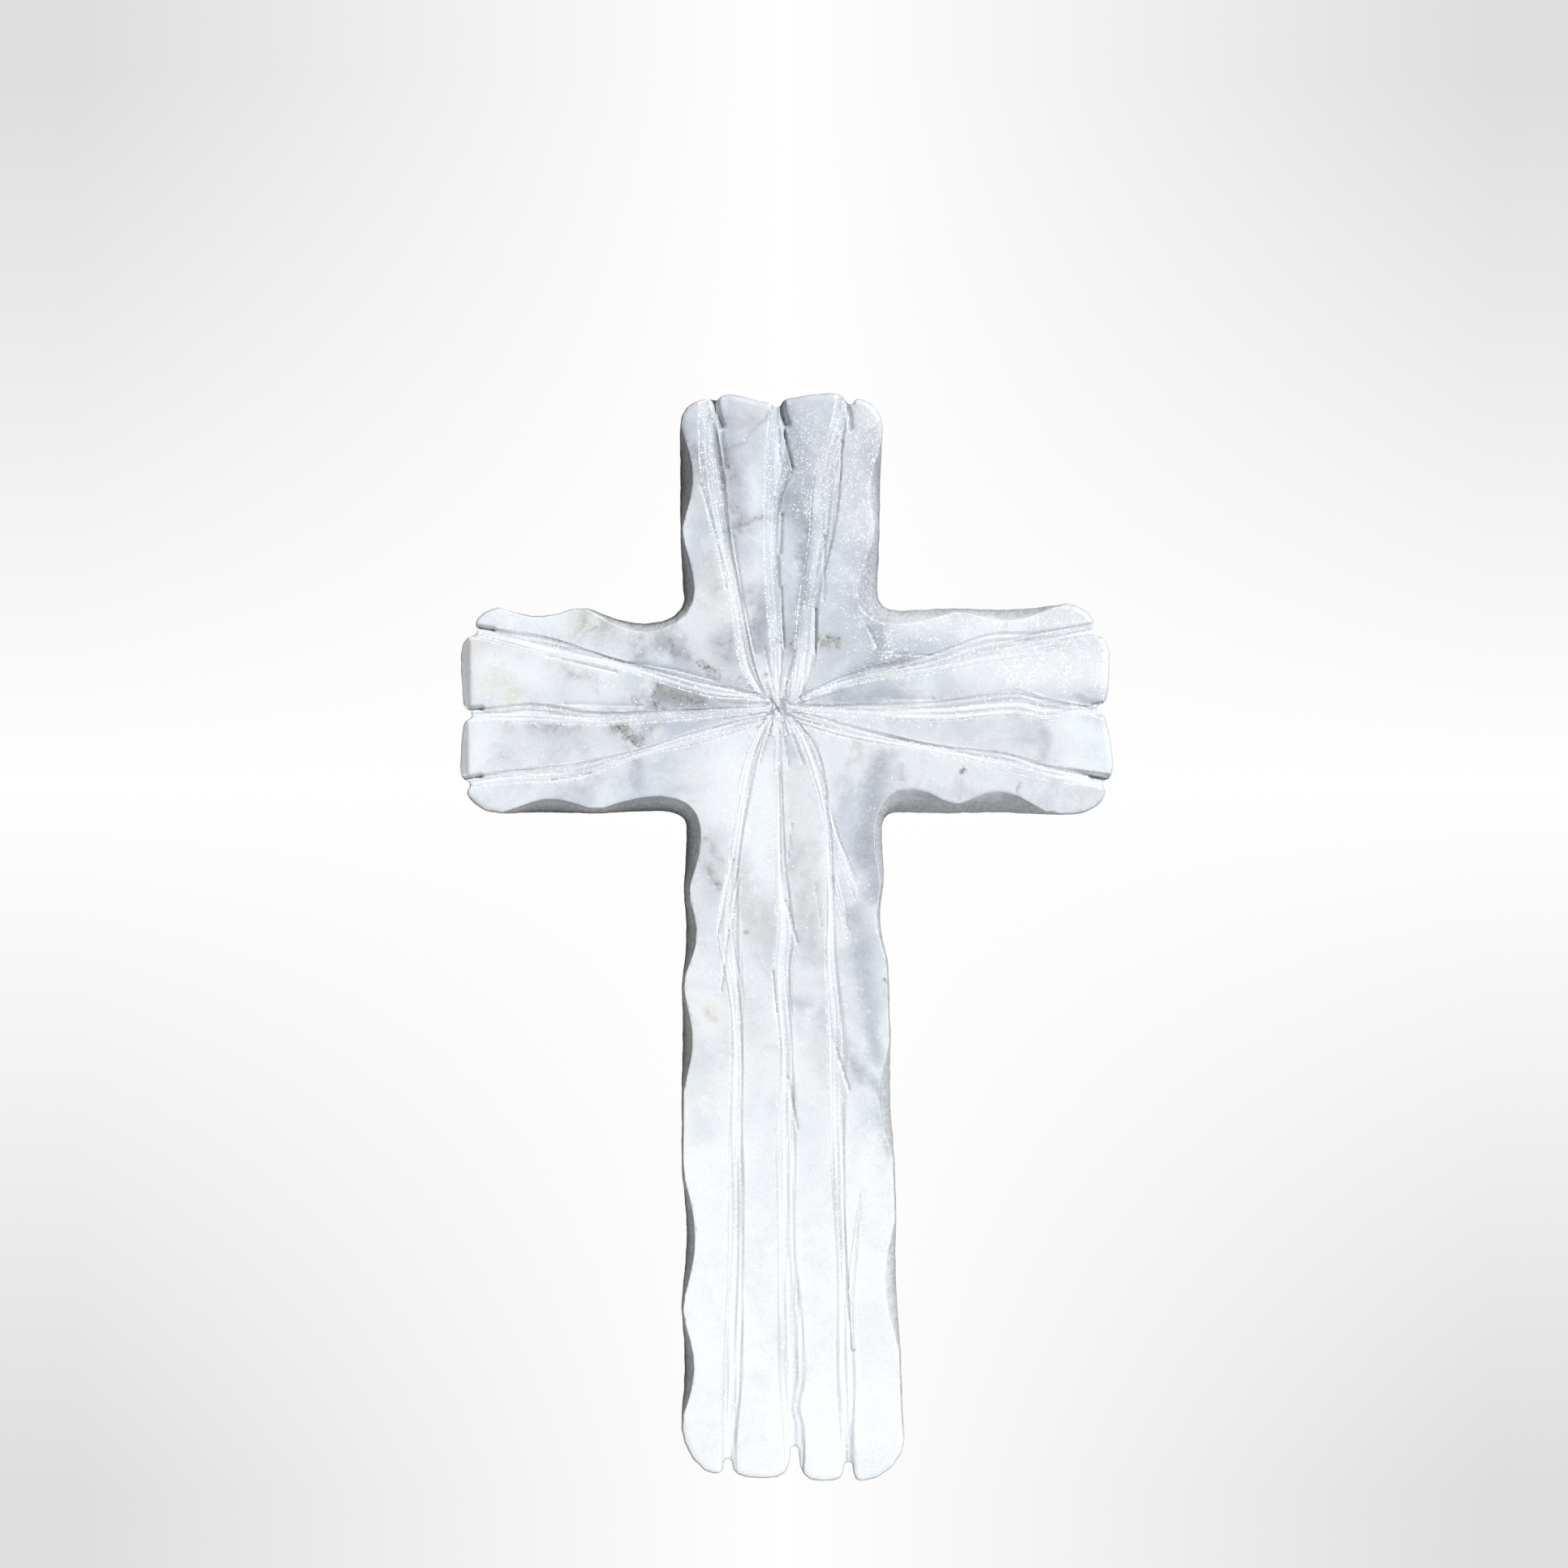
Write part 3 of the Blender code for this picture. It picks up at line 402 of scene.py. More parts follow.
# Colour through the stone, from the broad clouds to the small stains
PATCHES = {
    # Soft blue-grey clouds, one of them also painted shade
    Tone.CLOUD: (
        Patch(0.75, 6.0, ((-12.0, 70.0), (-10.5, 54.0), (-9.0, 36.0))),
        Patch(1.00, 10.0, ((5.0, 68.0), (6.0, 52.0))),
        Patch(0.35, 10.0, ((19.0, 66.0), (18.0, 30.0))),
        Patch(0.80, 7.0, ((-19.0, 64.0), (-18.0, 50.0))),
        Patch(0.80, 16.0, ((3.0, 58.0), (7.0, 38.0), (8.0, 22.0))),
        Patch(0.75, 6.0, ((-17.4, 44.0), (-16.6, 36.0))),
        Patch(0.90, 9.0, ((18.0, 36.0), (18.0, 24.0))),
        Patch(0.70, 5.0, ((-19.0, 36.0), (-18.0, 30.0))),
        Patch(0.75, 13.0, ((14.0, 26.0), (18.0, 6.0))),
        Patch(0.95, 6.0, ((-4.0, 26.0), (-3.0, 14.0))),
        Patch(0.55, 9.0, ((18.0, 24.0), (26.0, 12.0))),
        Patch(1.00, 6.0, ((4.0, 19.0), (6.5, 11.0))),
        Patch(0.55, 6.0, ((-27.0, 19.0), (-22.0, 10.0))),
        Patch(0.80, 7.0, ((-30.0, 15.6), (-23.0, 12.4))),
        Patch(0.90, 6.0, ((-12.0, 15.0), (-11.0, 11.0))),
        # Partly painted shade: darkens the place around the steep upper wall of the right arm's upper groove
        Patch(0.90, 9.0, ((14.0, 10.0), (30.0, 11.0))),
        Patch(1.00, 14.0, ((-29.0, 9.0), (-18.0, 0.0))),
        Patch(0.15, 6.0, ((24.0, 5.0), (40.0, 5.0))),
        Patch(0.90, 7.0, ((22.0, 4.0), (29.0, 4.4))),
        Patch(0.45, 7.0, ((-24.0, 3.0), (-12.0, 1.0))),
        Patch(1.00, 8.0, ((-38.0, -3.6), (-20.0, -4.2))),
        Patch(0.30, 5.0, ((28.0, -5.0), (44.0, -6.0))),
        Patch(0.35, 6.5, ((-60.0, -5.5), (-36.0, -6.5))),
        Patch(0.45, 7.0, ((-31.0, -7.0), (-24.0, -8.0))),
        Patch(0.45, 7.0, ((-33.0, -14.0), (-31.0, -22.0))),
        Patch(0.70, 5.0, ((15.0, -19.0), (15.5, -30.0))),
        Patch(0.50, 6.0, ((-15.0, -31.0), (-15.5, -44.0))),
        Patch(0.15, 6.0, ((4.0, -38.0), (8.0, -60.0))),
        Patch(0.25, 8.0, ((-4.0, -46.0), (-3.0, -56.0), (6.0, -74.0))),
        Patch(0.25, 7.0, ((-20.0, -46.0), (-12.0, -58.0))),
        Patch(0.40, 7.0, ((22.0, -58.0), (22.5, -94.0))),
        Patch(0.85, 3.6, ((2.0, -68.0), (10.0, -72.5), (16.0, -80.5), (24.4, -92.5))),
        Patch(0.45, 8.0, ((7.0, -72.0), (14.0, -86.0))),
        Patch(0.30, 8.0, ((-18.0, -86.0), (-18.0, -98.0))),
        Patch(0.50, 3.6, ((24.6, -92.0), (25.6, -104.0))),
        Patch(0.15, 26.0, ((0.0, -95.0), (0.0, -122.0))),
    ),
    # Darker slate-grey bands and thin veins, and one band of painted shade
    Tone.SLATE: (
        Patch(0.40, 3.4, ((2.0, 70.0), (5.5, 56.0))),
        Patch(0.26, 5.0, ((-6.0, 68.0), (-6.5, 58.0))),
        Patch(0.30, 6.0, ((-13.0, 66.0), (-12.0, 52.0))),
        Patch(0.28, 5.0, ((21.0, 64.0), (23.0, 56.0))),
        Patch(0.95, 6.0, ((-25.0, 64.0), (-25.0, 54.0))),
        Patch(0.35, 5.0, ((3.6, 62.0), (6.0, 50.0))),
        Patch(0.45, 1.4, ((-10.4, 60.9), (-7.6, 62.7), (-1.9, 67.5), (-1.3, 69.6))),
        Patch(0.45, 3.6, ((-18.0, 60.5), (-17.0, 55.5))),
        Patch(0.70, 5.0, ((3.0, 49.0), (6.6, 42.0))),
        Patch(0.55, 1.0, ((-12.0, 42.2), (-5.7, 44.2), (-3.8, 45.0), (0.6, 43.8))),
        Patch(0.80, 2.6, ((6.2, 42.0), (5.2, 33.0), (5.6, 25.0))),
        Patch(0.55, 3.8, ((21.6, 35.0), (20.8, 25.0), (24.0, 20.8))),
        Patch(0.45, 3.4, ((-3.6, 23.0), (-4.6, 15.0))),
        Patch(0.45, 3.2, ((22.6, 18.0), (24.0, 10.0))),
        Patch(0.50, 4.4, ((-28.0, 15.4), (-23.0, 12.6))),
        # Painted shade along the steep upper wall of the right arm's upper groove
        Patch(0.90, 4.2, ((19.0, 8.2), (30.0, 10.0))),
        Patch(0.75, 5.2, ((-27.0, 2.8), (-19.0, 1.2))),
        Patch(0.40, 3.0, ((14.0, 2.4), (28.0, 2.4))),
        Patch(0.40, 3.0, ((-30.0, 0.8), (-10.0, 0.6))),
        Patch(0.35, 2.4, ((61.5, -6.5), (61.0, -11.5))),
        Patch(0.60, 4.8, ((24.6, -12.0), (22.6, -20.0), (20.6, -28.0), (20.4, -36.0))),
        Patch(0.35, 3.0, ((-33.0, -13.5), (-32.0, -19.0))),
        Patch(0.55, 4.4, ((21.6, -32.0), (22.4, -44.0))),
        Patch(0.40, 4.0, ((18.0, -48.0), (20.5, -58.0))),
        Patch(0.38, 3.4, ((20.3, -58.0), (21.0, -70.0), (23.0, -82.0))),
        Patch(0.35, 3.4, ((24.0, -88.0), (25.4, -102.0))),
    ),
    # Warm flecked stains
    Tone.TAN: (
        Patch(0.55, 3.4, ((-19.6, 61.0), (-17.6, 55.0))),
        Patch(0.60, 4.0, ((-12.6, 60.0), (-11.8, 52.0))),
        Patch(0.55, 4.0, ((-11.0, 47.0), (-8.6, 43.0))),
        Patch(0.25, 3.4, ((-14.8, 34.0), (-13.4, 26.0))),
        Patch(0.45, 3.6, ((-6.4, 27.0), (-4.8, 18.0))),
        Patch(0.50, 2.6, ((2.4, 23.0), (5.6, 18.0))),
        Patch(0.50, 4.0, ((-44.4, 19.0), (-41.0, 20.4))),
        Patch(0.40, 2.2, ((-4.0, 19.0), (-4.6, 14.0))),
        Patch(0.55, 2.6, ((-24.0, 18.0), (-24.6, 12.0))),
        Patch(0.45, 3.0, ((-33.6, 17.5), (-32.0, 11.0))),
        Patch(0.80, 3.4, ((1.4, 15.8), (4.8, 14.8))),
        Patch(0.80, 3.6, ((9.8, 15.8), (12.6, 15.4))),
        Patch(0.50, 3.4, ((-21.6, 15.6), (-20.0, 9.0))),
        Patch(0.35, 2.4, ((-47.0, 15.5), (-44.0, 23.0))),
        Patch(0.50, 1.6, ((-13.4, 15.2), (-12.0, 14.4))),
        Patch(0.50, 3.6, ((-11.8, 15.0), (-11.0, 11.4))),
        Patch(0.35, 5.0, ((-24.0, 13.0), (-21.0, 12.0))),
        Patch(0.35, 0.9, ((-49.2, 9.2), (-42.6, 4.4), (-40.4, 1.0))),
        Patch(0.90, 2.8, ((-19.4, 9.0), (-14.6, 8.0))),
        Patch(0.18, 3.6, ((-65.0, 8.4), (-61.0, 4.4))),
        Patch(0.50, 3.0, ((-17.0, 8.0), (-8.0, 4.6))),
        Patch(0.30, 1.8, ((-48.0, 7.4), (-45.2, 6.4))),
        Patch(0.95, 3.8, ((-29.0, 4.6), (-27.6, -0.4))),
        Patch(0.70, 3.8, ((-27.0, 2.8), (-19.0, 1.2))),
        Patch(0.60, 5.0, ((-34.0, 1.0), (-30.6, -4.6))),
        Patch(0.95, 4.4, ((-38.6, -3.4), (-33.0, -8.4))),
        Patch(0.45, 3.0, ((-58.0, -4.8), (-47.0, -4.6))),
        Patch(0.35, 2.2, ((28.6, -15.0), (27.0, -21.0))),
        Patch(0.50, 1.2, ((56.4, -17.4), (56.0, -21.0))),
        Patch(0.60, 1.5, ((-16.8, -30.8), (-13.2, -35.4))),
        Patch(0.24, 6.0, ((-9.0, -36.0), (-5.0, -52.0))),
        Patch(0.55, 2.4, ((-16.6, -37.0), (-14.4, -41.4))),
        Patch(0.24, 5.0, ((5.0, -38.0), (7.4, -56.0))),
        Patch(0.45, 1.6, ((-16.6, -70.0), (-14.2, -72.4))),
        Patch(0.42, 1.8, ((15.4, -80.6), (24.2, -91.0))),
    ),
    # Warm haze over the hub and the lower arm
    Tone.HAZE: (
        Patch(0.20, 9.0, ((-13.0, 34.0), (-16.0, 12.0))),
        Patch(0.12, 12.0, ((-62.0, 10.0), (-50.0, 8.0))),
        Patch(0.16, 8.0, ((42.0, -8.0), (64.0, -9.0))),
        Patch(0.14, 11.0, ((-62.0, -10.0), (-40.0, -10.0))),
        Patch(0.20, 10.0, ((-20.0, -14.0), (-16.0, -26.0))),
        Patch(0.24, 8.0, ((2.0, -18.0), (9.0, -54.0))),
        Patch(0.26, 10.0, ((-15.0, -32.0), (-6.0, -52.0))),
        Patch(0.16, 9.0, ((7.0, -68.0), (9.0, -86.0))),
        Patch(0.17, 18.0, ((-12.0, -70.0), (-8.0, -86.0))),
        Patch(0.30, 4.0, ((-6.2, -156.0), (-3.4, -156.6))),
    ),
    # Cream spots where iron has crept in
    Tone.OCHRE: (
        Patch(0.45, 5.0, ((-46.0, 19.0), (-40.0, 20.0))),
        Patch(0.70, 4.0, ((-70.9, 16.6), (-71.2, 13.4))),
        Patch(0.60, 4.6, ((-67.6, 6.4), (-62.4, 3.0))),
        Patch(0.85, 2.4, ((-15.8, -68.6), (-14.4, -71.4))),
        Patch(0.35, 4.4, ((-20.0, -69.0), (-14.4, -71.0))),
        Patch(0.60, 2.4, ((-20.6, -74.0), (-20.0, -79.4))),
    ),
    # Single dark specks
    Tone.UMBER: (
        Patch(0.55, 0.9, ((-3.8, 7.9), (-3.5, 7.8))),
        Patch(0.50, 0.9, ((-7.8, 3.9), (-7.0, 3.6))),
        Patch(0.80, 1.3, ((43.2, -15.2), (44.0, -14.9))),
        Patch(0.50, 0.9, ((-7.4, -53.0), (-7.0, -53.2))),
        Patch(0.60, 0.9, ((24.9, -62.9), (25.1, -63.1))),
    ),
    # Milky white places
    Tone.MILK: (
        Patch(0.70, 4.5, ((-6.0, 58.0), (-5.5, 49.0))),
        Patch(0.55, 4.5, ((-20.5, 46.0), (-19.5, 36.0))),
        Patch(0.50, 3.0, ((1.5, 42.0), (1.4, 32.0))),
        Patch(0.55, 4.5, ((-7.5, 39.0), (-5.0, 33.0))),
        Patch(0.60, 3.6, ((3.0, 39.0), (4.0, 28.0))),
        Patch(0.60, 6.0, ((-66.0, 21.0), (-52.0, 20.0))),
        Patch(0.55, 7.0, ((34.0, 20.0), (74.0, 20.0))),
        Patch(1.00, 9.0, ((-66.0, 9.0), (-57.0, 7.6))),
        Patch(0.75, 10.0, ((58.0, 9.0), (76.0, 9.0))),
        Patch(0.70, 8.0, ((42.0, 8.0), (54.0, 8.0))),
        Patch(0.60, 4.5, ((-39.4, 6.6), (-38.2, 8.2))),
        Patch(0.45, 7.0, ((35.0, 5.4), (39.0, 6.0))),
        Patch(0.90, 8.0, ((68.0, -5.0), (76.0, -8.0))),
        Patch(0.95, 13.0, ((-14.0, -8.0), (-10.0, -30.0))),
        Patch(0.80, 8.0, ((-70.0, -8.0), (-72.0, -16.0))),
        Patch(0.50, 7.0, ((68.0, -8.0), (74.0, -14.0))),
        Patch(0.90, 8.0, ((-3.0, -14.0), (-5.0, -40.0))),
        Patch(0.70, 3.0, ((11.0, -30.0), (11.8, -52.0))),
        Patch(0.60, 9.0, ((-17.0, -66.0), (-15.0, -76.0))),
        Patch(0.70, 6.0, ((-4.5, -84.0), (-4.5, -100.0))),
    ),
    # Frosted places, where white glints are painted thickly
    Tone.FROST: (
        Patch(0.60, 9.0, ((6.0, 68.0), (6.0, 48.0))),
        Patch(1.30, 4.5, ((23.0, 68.0), (22.0, 52.0), (23.0, 36.0))),
        Patch(0.80, 11.0, ((18.0, 66.0), (19.0, 30.0), (28.0, 12.0))),
        Patch(1.20, 4.0, ((28.0, 24.0), (44.0, 25.0), (70.0, 25.0))),
        Patch(0.90, 8.0, ((34.0, 20.0), (72.0, 20.0))),
        Patch(1.40, 9.0, ((56.0, 9.0), (76.0, 9.0))),
    ),
}


Socket = bpy.types.NodeSocket


@dataclass(frozen=True)
class Shading:
    """Short ways to add the nodes that the marble's look is made of."""

    tree: bpy.types.NodeTree

    def split(self, vector: Socket) -> tuple[Socket, Socket, Socket]:
        """Take a vector apart."""
        return tuple(add_node(self.tree, "ShaderNodeSeparateXYZ", {}, {0: vector}).outputs)

    def math(self, operation: str, *values: Socket | float, clamp: bool = False) -> Socket:
        """Work out one value from others.

        Args:
            operation: What is done with the values.
            *values: One to three values.
            clamp: Whether the result is held between 0 and 1.

        Returns:
            The result.
        """
        return add_node(self.tree, "ShaderNodeMath", {"operation": operation, "use_clamp": clamp},
                        dict(enumerate(values))).outputs[0]

    def noise(self, place: Socket, cell: float, detail: float, roughness: float = 0.5,
              distortion: float = 0.0) -> Socket:
        """Add a noise.

        Args:
            place: Where it is read.
            cell: Size of its broadest blotches, in the unit of the place.
            detail: How many finer layers it has.
            roughness: Weight of the finer layers.
            distortion: How far it is warped.

        Returns:
            The noise, around 0.5.
        """
        return add_node(self.tree, "ShaderNodeTexNoise", {},
                        {"Vector": place, "Scale": 1 / cell, "Detail": detail, "Roughness": roughness,
                         "Distortion": distortion}).outputs[0]

    def ramp(self, value: Socket, low: float, high: float, start: float = 0.0,
             end: Socket | float = 1.0, soft: bool = False) -> Socket:
        """Turn one range of a value into another, held at both ends.

        Args:
            value: The value.
            low: The value at the ramp's start.
            high: The value at its end.
            start: The result at its start.
            end: The result at its end.
            soft: Whether the ramp eases in and out.

        Returns:
            The result.
        """
        kind = "SMOOTHSTEP" if soft else "LINEAR"
        return add_node(self.tree, "ShaderNodeMapRange", {"interpolation_type": kind},
                        {"Value": value, "From Min": low, "From Max": high, "To Min": start,
                         "To Max": end}).outputs[0]

    def choose(self, share: Socket, first: Socket | float, second: Socket | float) -> Socket:
        """Go from the first value to the second by a share."""
        return add_node(self.tree, "ShaderNodeMix", {"data_type": "FLOAT"},
                        {0: share, 2: first, 3: second}).outputs[0]

    def tint(self, colour: Socket | tuple, share: Socket, hex_code: str) -> Socket:
        """Lay a share of a colour over another."""
        return add_node(self.tree, "ShaderNodeMix", {"data_type": "RGBA"},
                        {0: share, 6: colour, 7: linear(hex_code)}).outputs[2]

    def shade(self, colour: Socket, share: Socket | float, light: Socket) -> Socket:
        """Multiply a share of a colour by a grey."""
        grey = add_node(self.tree, "ShaderNodeCombineXYZ", {}, {0: light, 1: light, 2: light}).outputs[0]
        return add_node(self.tree, "ShaderNodeMix", {"data_type": "RGBA", "blend_type": "MULTIPLY"},
                        {0: share, 6: colour, 7: grey}).outputs[2]


@dataclass(frozen=True)
class OnStone:
    """Sockets that say where on the stone a point is, in millimetres.

    Attributes:
        place: The point, whose coordinates are across, back and height.
        depth: How far it is behind the face.
        beds: The point in the plane of the face, frayed like the beds of colour.
        lanes: Its place across and along the groove, and how far inside the groove it is.
        from_line: The first value of lanes.
        inside: The third value of lanes.
    """

    place: Socket
    across: Socket
    back: Socket
    height: Socket
    depth: Socket
    beds: Socket
    lanes: Socket
    from_line: Socket
    inside: Socket


@dataclass(frozen=True)
class MarbleFinish:
    """White marble with grey veins: honed on the face, ground in the grooves and on the sides.

    Honed calcite has a soft sheen. Where the disc has ground it, the crystals are bruised, so
    the stone looks whiter and frosted, with single crystals painted white as glints.
    """

    name: str = "marble_honed_and_ground"
    upper_colour: str = "#E4E9EF"
    lower_colour: str = "#F6FAFD"
    cloud_colour: str = "#BFC6D0"
    vein_colour: str = "#A9AFB6"
    wisp_colour: str = "#C4C2BC"
    # Bruised white of ground calcite; on keen arrises it is partly a painted highlight line
    bruised_white_and_highlight: str = "#F1F5FA"
    # Colour of the painted shade in concave valleys
    valley_shade_colour: str = "#8F9298"
    # Colour of the painted shade on the sides
    side_shade_colour: str = "#55575B"
    # Colour of the painted glints
    painted_glint_colour: str = "#FFFFFF"
    crystal_mm: float = 0.3
    vein_mm: float = 30.0
    wisp_mm: float = 15.0
    lane_mm: float = 0.7
    scratch_mm: float = 0.9
    mottle_mm: float = 1.1
    fleck_mm: float = 2.6
    speck_mm: float = 0.8
    # Painted glints: size of their drifts, of the sparkle blotches, and width of the dotted highlight line
    # along the grooves' edges
    frost_glint_mm: float = 2.4
    sparkle_mm: float = 0.55
    arris_line_mm: float = 0.22
    cloud_mm: float = 24.0
    warp_mm: float = 3.4
    fine_warp_mm: float = 1.1
    face_y_mm: float = -20.0
    bedding_slope: float = 0.35
    whiter_from_mm: float = -40.0
    whitest_from_mm: float = -112.0
    # Painted shade on the sides: the depths behind the face where it starts and is full, and the places
    # across where its strength goes from the left value to the right one
    side_shade_deep_mm: tuple[float, float] = (3.0, 9.5)
    side_shade_across_mm: tuple[float, float] = (-14.0, 30.0)
    side_shade_left: float = 0.96
    side_shade_right: float = 0.3
    honed_roughness: float = 0.34
    ground_roughness: float = 0.62
    sawn_roughness: float = 0.5
    glint_roughness: float = 0.2
    streak_relief_mm: float = 0.25
    crystal_relief_mm: float = 0.04
    glow: float = 0.12
    glow_mm: float = 0.8

    def stroke_group(self) -> bpy.types.NodeTree:
        """Make the node group that gives its amount on a line and 0 from its width outwards.

        Returns:
            The node group with inputs Point, Start, Run, Aim, Width and Amount.
        """
        group = bpy.data.node_groups.new("patch_along_a_line", "ShaderNodeTree")
        for name in ("Point", "Start", "Run", "Aim"):
            group.interface.new_socket(name, in_out="INPUT", socket_type="NodeSocketVector")
        group.interface.new_socket("Width", in_out="INPUT", socket_type="NodeSocketFloat")
        group.interface.new_socket("Amount", in_out="INPUT", socket_type="NodeSocketFloat")
        group.interface.new_socket("Strength", in_out="OUTPUT", socket_type="NodeSocketFloat")
        given = add_node(group, "NodeGroupInput", {}, {}).outputs
        way = add_node(group, "ShaderNodeVectorMath", {"operation": "SUBTRACT"},
                       {0: given["Point"], 1: given["Start"]}).outputs[0]
        share = add_node(group, "ShaderNodeVectorMath", {"operation": "DOT_PRODUCT"},
                         {0: way, 1: given["Aim"]}).outputs["Value"]
        share = add_node(group, "ShaderNodeClamp", {}, {"Value": share}).outputs[0]
        foot = add_node(group, "ShaderNodeVectorMath", {"operation": "SCALE"},
                        {0: given["Run"], "Scale": share}).outputs[0]
        away = add_node(group, "ShaderNodeVectorMath", {"operation": "DISTANCE"},
                        {0: way, 1: foot}).outputs["Value"]
        strength = add_node(group, "ShaderNodeMapRange", {"interpolation_type": "SMOOTHSTEP"},
                            {"Value": away, "From Min": given["Width"], "From Max": 0.0,
                             "To Max": given["Amount"]}).outputs[0]
        add_node(group, "NodeGroupOutput", {}, {"Strength": strength})
        return group

    def tone_strength(self, shading: Shading, group: bpy.types.NodeTree, point: Socket,
                      tone: Tone) -> Socket:
        """Join all patches of one tone.

        Args:
            shading: The material's shading.
            group: The group that stroke_group made.
            point: Place on the stone in millimetres, in the plane of the face.
            tone: The tone whose patches are joined.

        Returns:
            The greatest strength of that tone's patches at the place.
        """
        total = None
        for patch in PATCHES[tone]:
            for start, end in zip(patch.line, patch.line[1:]):
                run = Vector((end[0] - start[0], 0.0, end[1] - start[1]))
                stroke = add_node(shading.tree, "ShaderNodeGroup", {"node_tree": group},
                                  {"Point": point, "Start": (start[0], 0.0, start[1]), "Run": run,
                                   "Aim": run / run.length_squared, "Width": patch.width,
                                   "Amount": patch.amount}).outputs[0]
                total = stroke if total is None else shading.math("MAXIMUM", total, stroke)
        return total

    def on_stone(self, shading: Shading) -> OnStone:
        """Say where on the stone a point is.

        The beds of colour lean through the slab, and their edges are frayed at two scales.
        """
        tree = shading.tree
        inside = add_node(tree, "ShaderNodeTexCoord", {}, {}).outputs["Object"]
        place = add_node(tree, "ShaderNodeVectorMath", {"operation": "SCALE"},
                         {0: inside, "Scale": 1 / MM}).outputs[0]
        across, back, height = shading.split(place)
        depth = shading.math("SUBTRACT", back, self.face_y_mm)
        leaning = shading.math("MULTIPLY_ADD", depth, self.bedding_slope, across)
        beds = add_node(tree, "ShaderNodeCombineXYZ", {}, {"X": leaning, "Z": height}).outputs[0]
        for reach, cell in ((self.warp_mm, 3.2), (self.fine_warp_mm, 1.0)):
            fray = add_node(tree, "ShaderNodeTexNoise", {},
                            {"Vector": place, "Scale": 1 / (reach * cell), "Detail": 3.0}).outputs["Color"]
            fray = add_node(tree, "ShaderNodeVectorMath", {"operation": "SUBTRACT"},
                            {0: fray, 1: (0.5, 0.5, 0.5)}).outputs[0]
            beds = add_node(tree, "ShaderNodeVectorMath", {"operation": "MULTIPLY_ADD"},
                            {0: fray, 1: (reach * 2, 0.0, reach * 2), 2: beds}).outputs[0]
        lanes = add_node(tree, "ShaderNodeAttribute", {"attribute_name": "lanes"}, {}).outputs["Vector"]
        from_line, _, within = shading.split(lanes)
        return OnStone(place, across, back, height, depth, beds, lanes, from_line, within)

    def body(self, shading: Shading, at: OnStone) -> Socket:
        """Colour the slab: cooler above, nearly pure white below, with soft clouds.

        Hair veins run where a slow noise passes its middle. Thin warm wisps are iron that has
        crept in between the beds.
        """
        lower = shading.ramp(at.height, self.whiter_from_mm, self.whitest_from_mm, soft=True)
        colour = shading.tint(linear(self.upper_colour), lower, self.lower_colour)
        calm = shading.ramp(lower, 0.0, 1.0, 1.0, 0.2)
        cloud = shading.noise(at.place, self.cloud_mm, 5.0, 0.6, 0.8)
        cloud = shading.ramp(cloud, 0.42, 0.68, 0.0, 0.8, soft=True)
        cloud = shading.math("MULTIPLY", cloud, calm)
        colour = shading.tint(colour, cloud, self.cloud_colour)
        vein = shading.noise(at.beds, self.vein_mm, 6.0, 0.55, 0.5)
        vein = shading.math("ABSOLUTE", shading.math("SUBTRACT", vein, 0.5))
        vein = shading.ramp(vein, 0.022, 0.0, 0.0, 0.4, soft=True)
        colour = shading.tint(colour, shading.math("MULTIPLY", vein, cloud), self.vein_colour)
        wisp = shading.noise(at.beds, self.wisp_mm, 5.0, 0.62, 1.4)
        wisp = shading.ramp(wisp, 0.54, 0.7, 0.0, 0.55, soft=True)
        return shading.tint(colour, shading.math("MULTIPLY", wisp, calm), self.wisp_colour)

    def patches(self, shading: Shading, at: OnStone, group: bpy.types.NodeTree, colour: Socket) -> Socket:
        """Lay the patches of each tone over the slab, mottled by the crystals they lie between.

        Dark mineral specks crowd in the stains.
        """
        mottle = shading.noise(at.place, self.mottle_mm, 4.0, 0.65)
        broad = shading.noise(at.place, self.mottle_mm * 5, 4.0, 0.6)
        flecked = shading.noise(at.place, self.fleck_mm, 6.0, 0.7)
        strengths = {}
        for tone, texture, low, high in (
            (Tone.MILK, broad, 0.12, 0.45),
            (Tone.CLOUD, broad, 0.22, 0.55),
            (Tone.HAZE, broad, 0.1, 0.4),
            (Tone.OCHRE, broad, 0.3, 0.6),
            (Tone.SLATE, mottle, 0.1, 0.55),
            (Tone.TAN, flecked, 0.36, 0.6),
            (Tone.UMBER, mottle, 0.3, 0.5),
        ):
            strength = self.tone_strength(shading, group, at.beds, tone)
            broken = shading.ramp(texture, low, high, soft=True)
            strengths[tone] = shading.math("MULTIPLY", strength, broken)
            colour = shading.tint(colour, strengths[tone], tone.value)
        specks = shading.noise(at.place, self.speck_mm, 3.0, 0.6)
        specks = shading.ramp(specks, 0.48, 0.64, soft=True)
        crowded = shading.ramp(strengths[Tone.TAN], 0.25, 0.8)
        return shading.tint(colour, shading.math("MULTIPLY", specks, crowded), Tone.UMBER.value)

